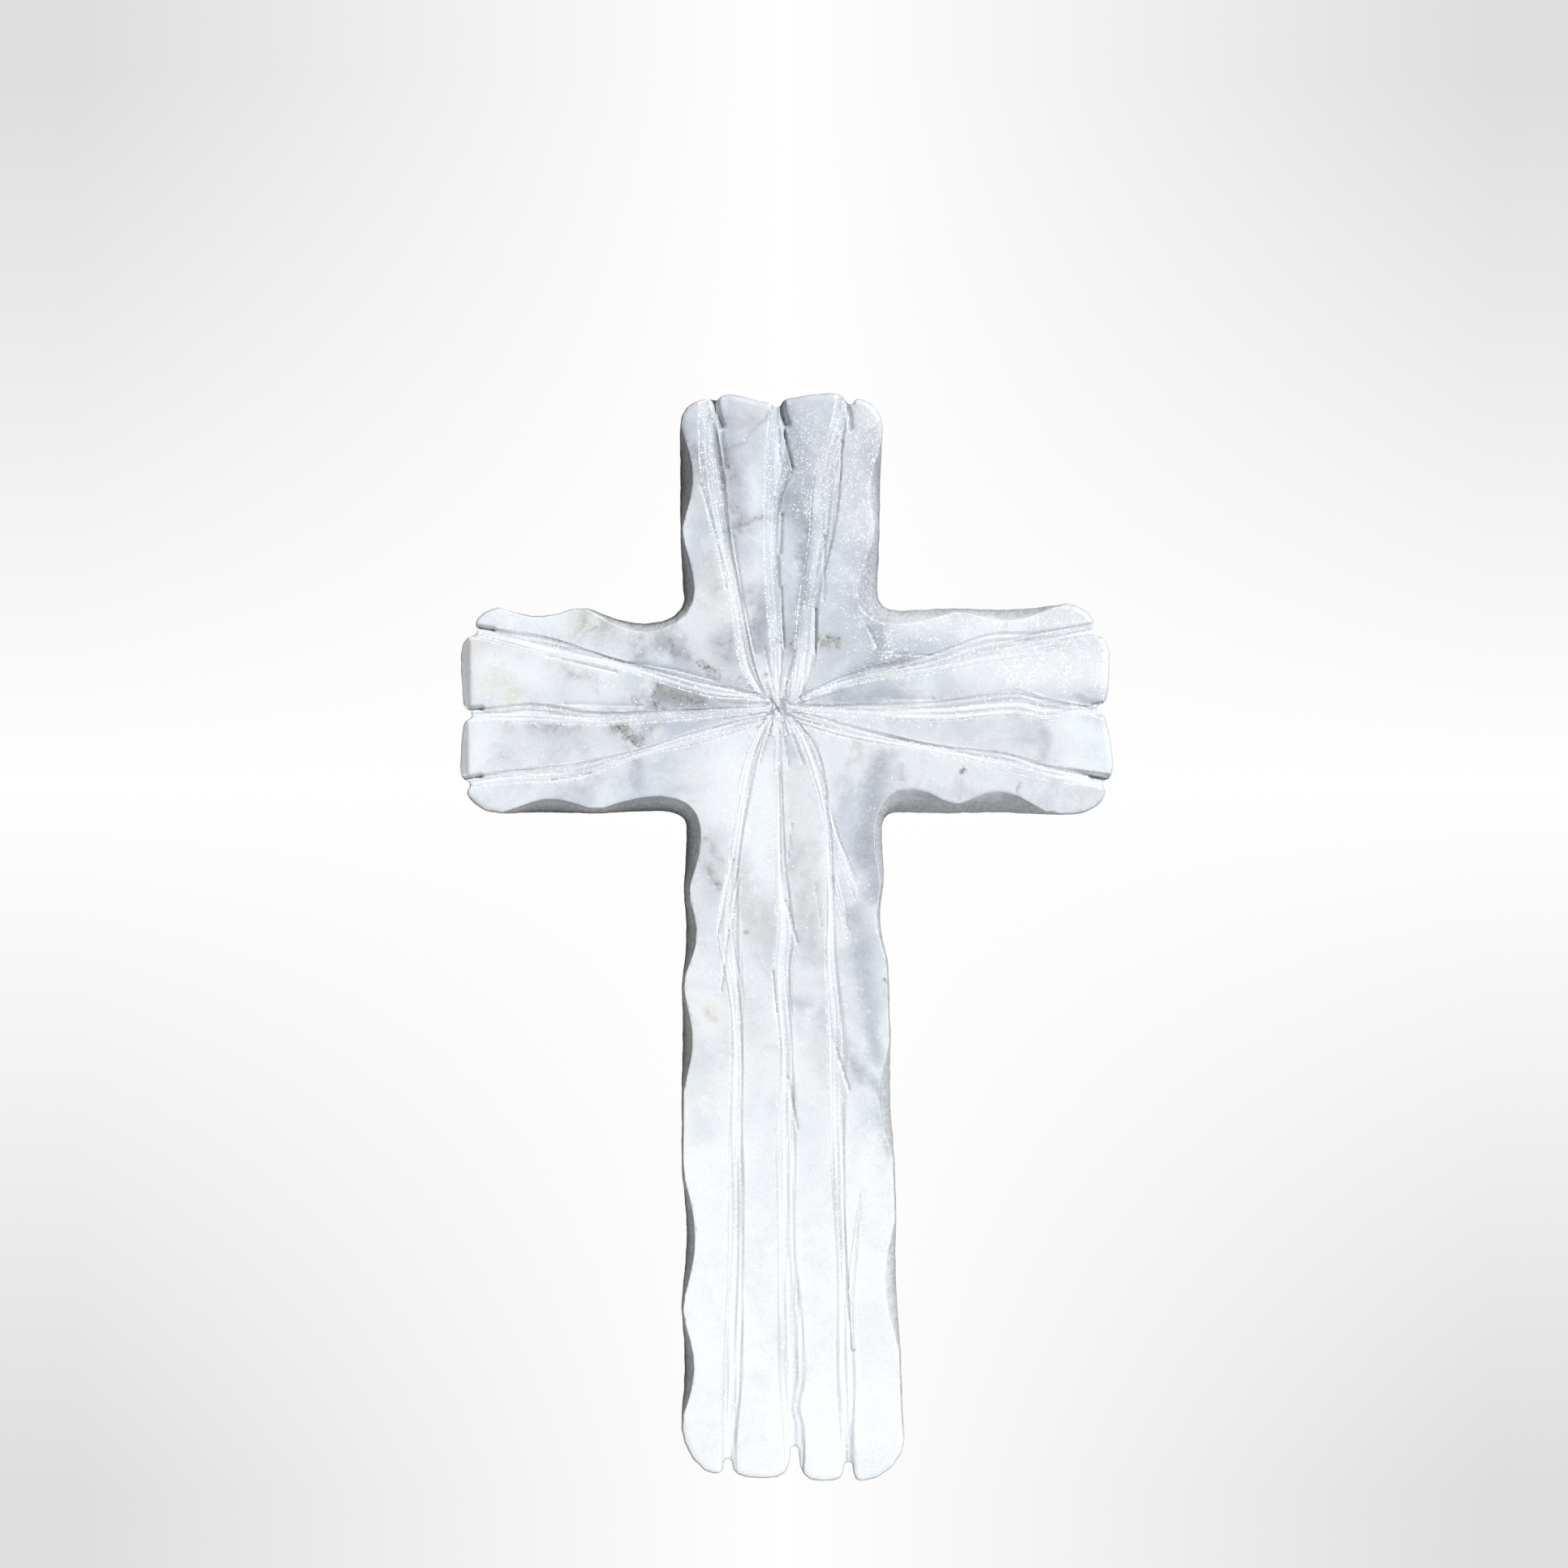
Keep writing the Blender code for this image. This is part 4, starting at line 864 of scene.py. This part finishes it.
    def ground(self, shading: Shading, at: OnStone) -> tuple[Socket, Socket, Socket]:
        """Find where the disc has ground: the grooves, and the sides down to the sawn back.

        Returns:
            How far a point is ground, on a side, and on the sawn back, each from 0 to 1.
        """
        groove = shading.ramp(at.inside, -0.1, 0.4, soft=True)
        facing = add_node(shading.tree, "ShaderNodeNewGeometry", {}, {}).outputs["Normal"]
        facing = shading.math("ABSOLUTE", shading.split(facing)[1])
        side = shading.math("MULTIPLY", shading.ramp(facing, 0.62, 0.4), shading.ramp(at.depth, 0.6, 1.6))
        sawn = shading.ramp(at.back, -0.3, -0.08, soft=True)
        ground = shading.math("SUBTRACT", shading.math("MAXIMUM", groove, side), sawn, clamp=True)
        return ground, side, sawn

    def side_shade(self, shading: Shading, at: OnStone, side: Socket) -> Socket:
        """Find the painted shade on the sides behind the bites: darker towards the back, and less of it
        towards the right.
        """
        most = shading.ramp(at.across, *self.side_shade_across_mm, self.side_shade_left, self.side_shade_right)
        return shading.math("MULTIPLY", shading.ramp(at.depth, *self.side_shade_deep_mm, 0.0, most), side)

    def streaks(self, shading: Shading, at: OnStone, side: Socket) -> Socket:
        """Draw the streaks of the disc: along the grooves, and from front to back on the sides."""
        along = add_node(shading.tree, "ShaderNodeVectorMath", {"operation": "MULTIPLY"},
                         {0: at.lanes, 1: (1 / self.lane_mm, 0.03, 0.0)}).outputs[0]
        backwards = add_node(shading.tree, "ShaderNodeVectorMath", {"operation": "MULTIPLY"},
                             {0: at.place, 1: (1 / self.scratch_mm, 0.07, 1 / self.scratch_mm)}).outputs[0]
        return shading.choose(side, shading.noise(along, 1.0, 2.0, 0.55),
                              shading.noise(backwards, 1.0, 3.0, 0.6))

    def frost_glints(self, shading: Shading, at: OnStone, group: bpy.types.NodeTree) -> Socket:
        """Find where white glints are painted thickly: the frosted places, and the painted dotted highlight
        lines at the edges of the grooves.
        """
        drifts = shading.noise(at.place, self.frost_glint_mm, 4.0, 0.65)
        drifts = shading.ramp(drifts, 0.4, 0.68, 0.15, 1.3)
        frost_glints = shading.math("MULTIPLY", self.tone_strength(shading, group, at.beds, Tone.FROST), drifts)
        line = shading.ramp(shading.math("ABSOLUTE", at.from_line), self.arris_line_mm, 0.0, 0.0, 6.0)
        line = shading.math("MULTIPLY", line, drifts)
        beside_it = shading.math("LESS_THAN", shading.math("ABSOLUTE", at.inside), 0.4)
        return shading.math("MAXIMUM", frost_glints, shading.math("MULTIPLY", line, beside_it))

    def material(self) -> bpy.types.Material:
        """Build the marble.

        Returns:
            The material.
        """
        material = bpy.data.materials.new(self.name)
        material.use_nodes = True
        tree = material.node_tree
        tree.nodes.clear()
        shading = Shading(tree)
        at = self.on_stone(shading)
        group = self.stroke_group()
        ground, side, sawn = self.ground(shading, at)
        side_shade = self.side_shade(shading, at, side)
        streak = self.streaks(shading, at, side)
        frost_glints = self.frost_glints(shading, at, group)

        # The slab, bruised white where it is ground, with painted shade on its sides and the streaks of the
        # disc
        colour = self.patches(shading, at, group, self.body(shading, at))
        whitened = shading.ramp(at.height, 30.0, 4.0, 0.15, 0.5, soft=True)
        colour = shading.tint(colour, shading.math("MULTIPLY", ground, whitened), self.bruised_white_and_highlight)
        # Painted shade on the sides, darker towards the back and the left
        colour = shading.tint(colour, side_shade, self.side_shade_colour)
        colour = shading.shade(colour, ground, shading.ramp(streak, 0.32, 0.62, 0.8, 1.05, soft=True))

        # Crystals, drawn a little coarser than the real ones so that they show
        crystal = add_node(tree, "ShaderNodeTexVoronoi", {},
                           {"Vector": at.place, "Scale": 1 / self.crystal_mm}).outputs["Color"]
        crystal = add_node(tree, "ShaderNodeSeparateColor", {}, {0: crystal}).outputs
        colour = shading.shade(colour, 1.0, shading.ramp(crystal[0], 0.0, 1.0, 0.955, 1.03))

        # Arrises bruised white and partly a painted highlight line, and painted shade in the valleys
        arris = add_node(tree, "ShaderNodeAttribute", {"attribute_name": "arris"}, {}).outputs["Fac"]
        # Keen arrises: partly bruised white, partly a painted highlight line
        keen = shading.ramp(arris, 0.12, 0.3)
        colour = shading.tint(colour, keen, self.bruised_white_and_highlight)
        # Painted shade where the stone is concave
        colour = shading.tint(colour, shading.ramp(arris, -0.06, -0.26, 0.0, 0.6), self.valley_shade_colour)

        # Painted glints: single crystals and sparkles drawn white, most of all where the stone is rough or
        # frosted, fewer in the painted side shade
        bare = shading.math("SUBTRACT", ground, side_shade, clamp=True)
        rough_places = shading.math("MAXIMUM", shading.math("MAXIMUM", keen, bare), frost_glints)
        limit = add_node(tree, "ShaderNodeMapRange", {"clamp": False},
                         {"Value": rough_places, "To Min": 0.997, "To Max": 0.92}).outputs[0]
        sparkle = shading.ramp(shading.noise(at.place, self.sparkle_mm, 2.0), 0.48, 0.66)
        sparkle = shading.math("MULTIPLY", sparkle, frost_glints, clamp=True)
        colour = shading.tint(colour, sparkle, self.painted_glint_colour)
        glint = shading.math("GREATER_THAN", crystal[1], limit)
        colour = shading.tint(colour, glint, self.painted_glint_colour)

        roughness = shading.ramp(ground, 0.0, 1.0, self.honed_roughness, self.ground_roughness)
        roughness = shading.choose(sawn, roughness, self.sawn_roughness)
        roughness = shading.choose(glint, roughness, self.glint_roughness)
        bump = add_node(tree, "ShaderNodeBump", {},
                        {"Strength": 1.0, "Distance": self.streak_relief_mm * MM,
                         "Height": shading.math("MULTIPLY", streak, ground)}).outputs[0]
        bump = add_node(tree, "ShaderNodeBump", {},
                        {"Strength": 0.35, "Distance": self.crystal_relief_mm * MM, "Height": crystal[2],
                         "Normal": bump}).outputs[0]
        shader = add_node(tree, "ShaderNodeBsdfPrincipled", {"subsurface_method": "RANDOM_WALK"},
                          {"Base Color": colour, "Roughness": roughness, "Normal": bump, "IOR": 1.5,
                           "Subsurface Weight": self.glow, "Subsurface Radius": (1.0, 0.95, 0.9),
                           "Subsurface Scale": self.glow_mm * MM}).outputs[0]
        add_node(tree, "ShaderNodeOutputMaterial", {}, {"Surface": shader})
        return material


@dataclass
class CarvedCross:
    """The one stone: a fine copy of the solid with worn arrises and the marks of the grinder."""

    name: str = "carved_marble"
    voxel: float = 0.4 * MM
    soften_rounds: int = 3
    triangles: int = 190000
    side_mark_depth: float = 0.28 * MM
    side_mark_cell: tuple[float, float, float] = (2.6, 15.0, 2.6)
    side_scratch_depth: float = 0.10 * MM
    side_scratch_cell: tuple[float, float, float] = (0.8, 11.0, 0.8)
    face_wave_depth: float = 0.25 * MM
    face_wave_cell: tuple[float, float, float] = (13.0, 60.0, 13.0)
    chip_depth: float = 0.30 * MM
    chip_cell: tuple[float, float, float] = (1.8, 1.8, 1.8)
    dish_radius: float = 7.0
    dish_depth: float = 0.45
    lane_shift: float = 300.0

    def copy_solid(self, source: bpy.types.Object) -> bpy.types.Object:
        """Copy a node's mesh into a new object and merge its loose triangles.

        Args:
            source: The node, which stays as it is.

        Returns:
            The copy, closed.
        """
        mesh = source.data.copy()
        mesh.name = self.name
        mesh.materials.clear()
        piece = bpy.data.objects.new(self.name, mesh)
        bpy.context.scene.collection.objects.link(piece)
        select_only(piece)
        bpy.ops.object.mode_set(mode="EDIT")
        bpy.ops.mesh.select_all(action="SELECT")
        bpy.ops.mesh.remove_doubles(threshold=0.01 * MM)
        bpy.ops.object.mode_set(mode="OBJECT")
        return piece

    def cut_depths(self, points: np.ndarray) -> np.ndarray:
        """Depth that the light strokes take off the face at each point, in metres."""
        flat = points[:, (0, 2)] / MM
        depths = np.zeros(len(points))
        for cut in CUTS:
            for start, end in zip(cut.line, cut.line[1:]):
                run = np.array(end) - start
                share = np.clip((flat - start) @ run / (run @ run), 0, 1)
                away = np.linalg.norm(flat - start - share[:, None] * run, axis=1)
                depths = np.maximum(depths, cut.depth * (1 - eased(away, 0, cut.width / 2)))
        return depths * MM

    def carving(self, flat: np.ndarray) -> tuple[np.ndarray, ...]:
        """Work out the grooves at each place on the face.

        Args:
            flat: Places on the face, in millimetres from the hub, one row each.

        Returns:
            The depth of the carving and of the plain solid, how far inside the nearest groove the
            place lies, how far inside the arm's end, all in millimetres, and for the marble the
            place from that groove's gentle edge, along it, and inside it.
        """
        depth = np.zeros(len(flat))
        plain = np.zeros(len(flat))
        inner = np.full(len(flat), -1e3)
        within = np.full(len(flat), 1e3)
        lanes = np.zeros((len(flat), 2))
        for number, groove in enumerate(GROOVES):
            along, offset, width = groove.place(flat)
            room = np.minimum(offset, width - offset)
            room = np.minimum(room, np.minimum(along - groove.rows[0][0], groove.rows[-1][0] - along))
            depth = np.maximum(depth, np.where(room > 0, groove.depth(along, offset, width), 0))
            plain = np.maximum(plain, np.where(room > 0, groove.solid_depth(offset, width), 0))
            nearer = room > inner
            inner = np.where(nearer, room, inner)
            within = np.where(nearer, groove.arm.value[2] - along, within)
            place = np.column_stack([offset, along + self.lane_shift * number])
            lanes = np.where(nearer[:, None], place, lanes)
        away = np.linalg.norm(flat, axis=1)
        dish = eased(away, self.dish_radius, self.dish_radius * 0.3)
        depth = np.maximum(depth, self.dish_depth * dish)
        inner = np.maximum(inner, self.dish_radius - away)
        return depth, plain, inner, within, np.column_stack([lanes, inner])

    def facet_depths(self, flat: np.ndarray) -> np.ndarray:
        """Depth in millimetres to which the facets lower the face at each place."""
        depths = np.zeros(len(flat))
        for facet in FACETS:
            start, end = np.array(facet.line[0]), np.array(facet.line[1])
            run = end - start
            length = np.linalg.norm(run)
            way = flat - start
            along = way @ run / length
            beyond = (way[:, 1] * run[0] - way[:, 0] * run[1]) / length
            kept = eased(along, -0.6, 0.6) * eased(along, length + 0.6, length - 0.6)
            depths = np.maximum(depths, facet.slope * np.clip(beyond, 0, facet.reach) * kept)
        return depths

    def sculpt(self, piece: bpy.types.Object, low: Vector, high: Vector) -> None:
        """Move the points inwards by the marks of the tools and the wear of the arrises.

        Args:
            piece: The fine copy.
            low: Lowest corner of the solid's box.
            high: Highest corner of the solid's box.
        """
        mesh = piece.data
        points = np.empty(len(mesh.vertices) * 3)
        normals = np.empty(len(mesh.vertices) * 3)
        mesh.vertices.foreach_get("co", points)
        mesh.vertices.foreach_get("normal", normals)
        points = points.reshape(-1, 3)
        normals = normals.reshape(-1, 3)
        face_y, back_y = low.y, high.y
        beside = eased(np.abs(normals[:, 1]), 0.75, 0.35)
        on_face = eased(points[:, 1], face_y + 0.25 * MM, face_y + 0.1 * MM)
        on_face *= eased(-normals[:, 1], 0.8, 0.95)
        off_back = eased(points[:, 1], back_y - 0.2 * MM, back_y - 1.0 * MM)

        marks = 0.5 + 0.5 * grain(points, self.side_mark_cell, 3.1)
        scratches = 0.5 + 0.5 * grain(points, self.side_scratch_cell, 8.9)
        inwards = self.side_mark_depth * marks * beside * off_back
        inwards += self.side_scratch_depth * scratches * beside * off_back
        convex = eased(self.convexity(mesh, points, normals), 0.05, 0.2)
        chips = eased(grain(points, self.chip_cell, 21.0), 0.12, 0.5)
        inwards += self.chip_depth * chips * convex * eased(points[:, 1], face_y + 5 * MM, face_y + 3 * MM)
        points -= normals * inwards[:, None]

        # Near the face the grooves of the plain solid give way to the carved ones
        near = np.flatnonzero((points[:, 1] < face_y + 5 * MM) & (normals[:, 1] < 0.5))
        flat = points[near][:, (0, 2)] / MM
        deep = (points[near, 1] - face_y) / MM
        depth, plain, inner, within, _ = self.carving(flat)
        set_fully = eased(inner, -1.0, -0.5) * eased(within, 1.0, 4.0) * (deep < 3.4)
        changed = deep + (depth - plain) * eased(deep, 4.4, 3.0)
        deep = changed * (1 - set_fully) + depth * set_fully
        deep = np.maximum(deep, self.facet_depths(flat))
        points[near, 1] = face_y + deep * MM
        points[:, 1] += self.cut_depths(points) * eased(-normals[:, 1], 0.2, 0.6)
        waves = 0.5 + 0.5 * grain(points, self.face_wave_cell, 1.7)
        points[:, 1] += self.face_wave_depth * waves * on_face
        points = np.clip(points, np.array(low), np.array(high))
        mesh.vertices.foreach_set("co", points.ravel())
        mesh.update()

    def convexity(self, mesh: bpy.types.Mesh, points: np.ndarray, normals: np.ndarray) -> np.ndarray:
        """Sine of the slope away from each point, above 0 on an arris and under 0 in a valley."""
        edges = np.empty(len(mesh.edges) * 2, int)
        mesh.edges.foreach_get("vertices", edges)
        edges = edges.reshape(-1, 2)
        total = np.zeros(len(points))
        count = np.zeros(len(points))
        for here, there in ((0, 1), (1, 0)):
            way = points[edges[:, here]] - points[edges[:, there]]
            way /= np.linalg.norm(way, axis=1)[:, None] + 1e-9
            np.add.at(total, edges[:, here], (way * normals[edges[:, here]]).sum(1))
            np.add.at(count, edges[:, here], 1)
        return total / np.maximum(count, 1)

    def mark_surface(self, piece: bpy.types.Object) -> None:
        """Store how convex the stone is and its lanes, in millimetres, for the marble to read."""
        mesh = piece.data
        points = np.empty(len(mesh.vertices) * 3)
        normals = np.empty(len(mesh.vertices) * 3)
        mesh.vertices.foreach_get("co", points)
        mesh.vertices.foreach_get("normal", normals)
        points = points.reshape(-1, 3)
        values = self.convexity(mesh, points, normals.reshape(-1, 3))
        attribute = mesh.attributes.new("arris", "FLOAT", "POINT")
        attribute.data.foreach_set("value", values.astype(np.float32))
        lanes = self.carving(points[:, (0, 2)] / MM)[4]
        attribute = mesh.attributes.new("lanes", "FLOAT_VECTOR", "POINT")
        attribute.data.foreach_set("vector", lanes.astype(np.float32).ravel())

    def build(self, source: bpy.types.Object) -> bpy.types.Object:
        """Make the dressed stone.

        Args:
            source: The solid's node.

        Returns:
            The finished piece.
        """
        low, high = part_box(NODE)
        piece = self.copy_solid(source)
        apply_modifier(piece, "REMESH", {"mode": "VOXEL", "voxel_size": self.voxel, "use_smooth_shade": True})
        apply_modifier(piece, "SMOOTH", {"factor": 0.5, "iterations": self.soften_rounds})
        LOG.info("fine copy has %d points", len(piece.data.vertices))
        self.sculpt(piece, low, high)
        apply_modifier(piece, "SMOOTH", {"factor": 0.25, "iterations": 1})
        apply_modifier(piece, "TRIANGULATE", {})
        ratio = self.triangles / len(piece.data.polygons)
        apply_modifier(piece, "DECIMATE", {"ratio": min(1.0, ratio)})
        self.mark_surface(piece)
        select_only(piece)
        bpy.ops.object.shade_smooth()
        piece.data.materials.append(MarbleFinish().material())
        LOG.info("%s has %d triangles", piece.name, len(piece.data.polygons))
        return piece


@dataclass(frozen=True)
class FloorFinish:
    """Matt white studio board: plain, pale and without gloss. It fades out before the horizon."""

    name: str = "studio_board"
    colour: str = "#DCDCDC"
    roughness: float = 0.9
    fade_start: float = 0.3
    fade_end: float = 1.2

    def material(self) -> bpy.types.Material:
        """Build the floor's material.

        Returns:
            The material.
        """
        material = bpy.data.materials.new(self.name)
        material.use_nodes = True
        tree = material.node_tree
        tree.nodes.clear()
        place = add_node(tree, "ShaderNodeTexCoord", {}, {}).outputs["Object"]
        flat = add_node(tree, "ShaderNodeVectorMath", {"operation": "MULTIPLY"},
                        {0: place, 1: (1.0, 1.0, 0.0)}).outputs[0]
        away = add_node(tree, "ShaderNodeVectorMath", {"operation": "LENGTH"}, {0: flat}).outputs["Value"]
        gone = add_node(tree, "ShaderNodeMapRange", {"interpolation_type": "SMOOTHSTEP"},
                        {"Value": away, "From Min": self.fade_start, "From Max": self.fade_end}).outputs[0]
        board = add_node(tree, "ShaderNodeBsdfPrincipled", {},
                         {"Base Color": linear(self.colour), "Roughness": self.roughness}).outputs[0]
        clear = add_node(tree, "ShaderNodeBsdfTransparent", {}, {}).outputs[0]
        shader = add_node(tree, "ShaderNodeMixShader", {}, {0: gone, 1: board, 2: clear}).outputs[0]
        add_node(tree, "ShaderNodeOutputMaterial", {}, {"Surface": shader})
        return material


@dataclass
class Studio:
    """A pale floor below the cross, a white surround, a sun-like key light and the camera."""

    floor_height: float = -0.42
    floor_radius: float = 1.4
    frame_width: float = 0.3651
    frame_centre: tuple[float, float] = (1.1 * MM, -17.8 * MM)
    face_y: float = -20.0 * MM
    lens: float = 180.0
    sensor: float = 36.0
    key_direction: tuple[float, float, float] = (0.38, -0.82, 0.43)
    key_strength: float = 3.05
    key_angle: float = 0.08
    fill_strength: float = 0.22
    fill_lean: float = 0.3
    seen_white: float = 1.0
    corner_grey: float = 0.73
    half_view: float = 0.09

    def floor(self) -> bpy.types.Object:
        """Lay the floor.

        Returns:
            The floor, a disc with a thin ring inset at its rim.
        """
        bpy.ops.object.select_all(action="DESELECT")
        bpy.ops.mesh.primitive_circle_add(
            vertices=96, radius=self.floor_radius, fill_type="NGON", location=(0, 0, self.floor_height)
        )
        floor = bpy.context.object
        floor.name = "studio_floor"
        bpy.ops.object.mode_set(mode="EDIT")
        bpy.ops.mesh.select_all(action="SELECT")
        bpy.ops.mesh.inset(thickness=self.floor_radius * 0.02)
        bpy.ops.object.mode_set(mode="OBJECT")
        bpy.ops.object.transform_apply(location=True, rotation=True, scale=True)
        floor.data.materials.append(FloorFinish().material())
        return floor

    def surround(self) -> None:
        """Surround the stage with white that lights the stone less than it shows to the eye.

        It is brightest along the horizon and straight behind the cross, and greyer in the corners.
        """
        world = bpy.data.worlds.new("studio_surround")
        bpy.context.scene.world = world
        world.use_nodes = True
        tree = world.node_tree
        tree.nodes.clear()
        way = add_node(tree, "ShaderNodeTexCoord", {}, {}).outputs["Generated"]
        off = add_node(tree, "ShaderNodeVectorMath", {"operation": "ABSOLUTE"}, {0: way}).outputs[0]
        off = add_node(tree, "ShaderNodeSeparateXYZ", {}, {0: off}).outputs
        aside = add_node(tree, "ShaderNodeMapRange", {},
                         {"Value": off["X"], "From Max": self.half_view}).outputs[0]
        above = add_node(tree, "ShaderNodeMapRange", {},
                         {"Value": off["Z"], "From Max": self.half_view}).outputs[0]
        corner = add_node(tree, "ShaderNodeMath", {"operation": "MULTIPLY"}, {0: aside, 1: above}).outputs[0]
        shown = add_node(tree, "ShaderNodeMapRange", {},
                         {"Value": corner, "To Min": self.seen_white, "To Max": self.corner_grey}).outputs[0]
        right = add_node(tree, "ShaderNodeSeparateXYZ", {}, {0: way}).outputs["X"]
        fill = add_node(tree, "ShaderNodeMapRange", {},
                        {"Value": right, "From Min": -1.0, "From Max": 1.0,
                         "To Min": self.fill_strength * (1 - self.fill_lean),
                         "To Max": self.fill_strength * (1 + self.fill_lean)}).outputs[0]
        seen = add_node(tree, "ShaderNodeLightPath", {}, {}).outputs["Is Camera Ray"]
        strength = add_node(tree, "ShaderNodeMix", {"data_type": "FLOAT"},
                            {0: seen, 2: fill, 3: shown}).outputs[0]
        light = add_node(tree, "ShaderNodeBackground", {},
                         {"Color": (1.0, 1.0, 1.0, 1.0), "Strength": strength}).outputs[0]
        add_node(tree, "ShaderNodeOutputWorld", {}, {"Surface": light})

    def key_light(self) -> bpy.types.Object:
        """Hang the key light, upper right in front.

        Returns:
            The light.
        """
        data = bpy.data.lights.new("key_light", "SUN")
        data.energy = self.key_strength
        data.angle = self.key_angle
        light = bpy.data.objects.new("key_light", data)
        bpy.context.scene.collection.objects.link(light)
        light.rotation_euler = Vector(self.key_direction).to_track_quat("Z", "Y").to_euler()
        return light

    def camera(self) -> bpy.types.Object:
        """Set up the camera square to the face, at the distance that frames it.

        Returns:
            The camera.
        """
        data = bpy.data.cameras.new("camera")
        data.lens = self.lens
        data.sensor_width = self.sensor
        data.clip_end = self.floor_radius * 4
        camera = bpy.data.objects.new("camera", data)
        bpy.context.scene.collection.objects.link(camera)
        distance = self.frame_width * self.lens / self.sensor
        camera.location = (self.frame_centre[0], self.face_y - distance, self.frame_centre[1])
        camera.rotation_euler = (np.pi / 2, 0.0, 0.0)
        bpy.context.scene.camera = camera
        return camera


def main() -> None:
    """Build the stage and the dressed cross, and report each piece."""
    logging.basicConfig(level=logging.INFO, format="%(message)s")
    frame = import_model()
    bpy.ops.object.select_all(action="DESELECT")
    bpy.context.scene.view_settings.view_transform = "Standard"
    studio = Studio()
    studio.floor()
    studio.surround()
    studio.key_light()
    studio.camera()
    LOG.info("studio is set")
    stone = CarvedCross().build(frame["nodes"][NODE])
    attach(stone, "root")
    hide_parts(NODE)
    LOG.info("piece %s rides on root", stone.name)


if __name__ == "__main__":
    main()
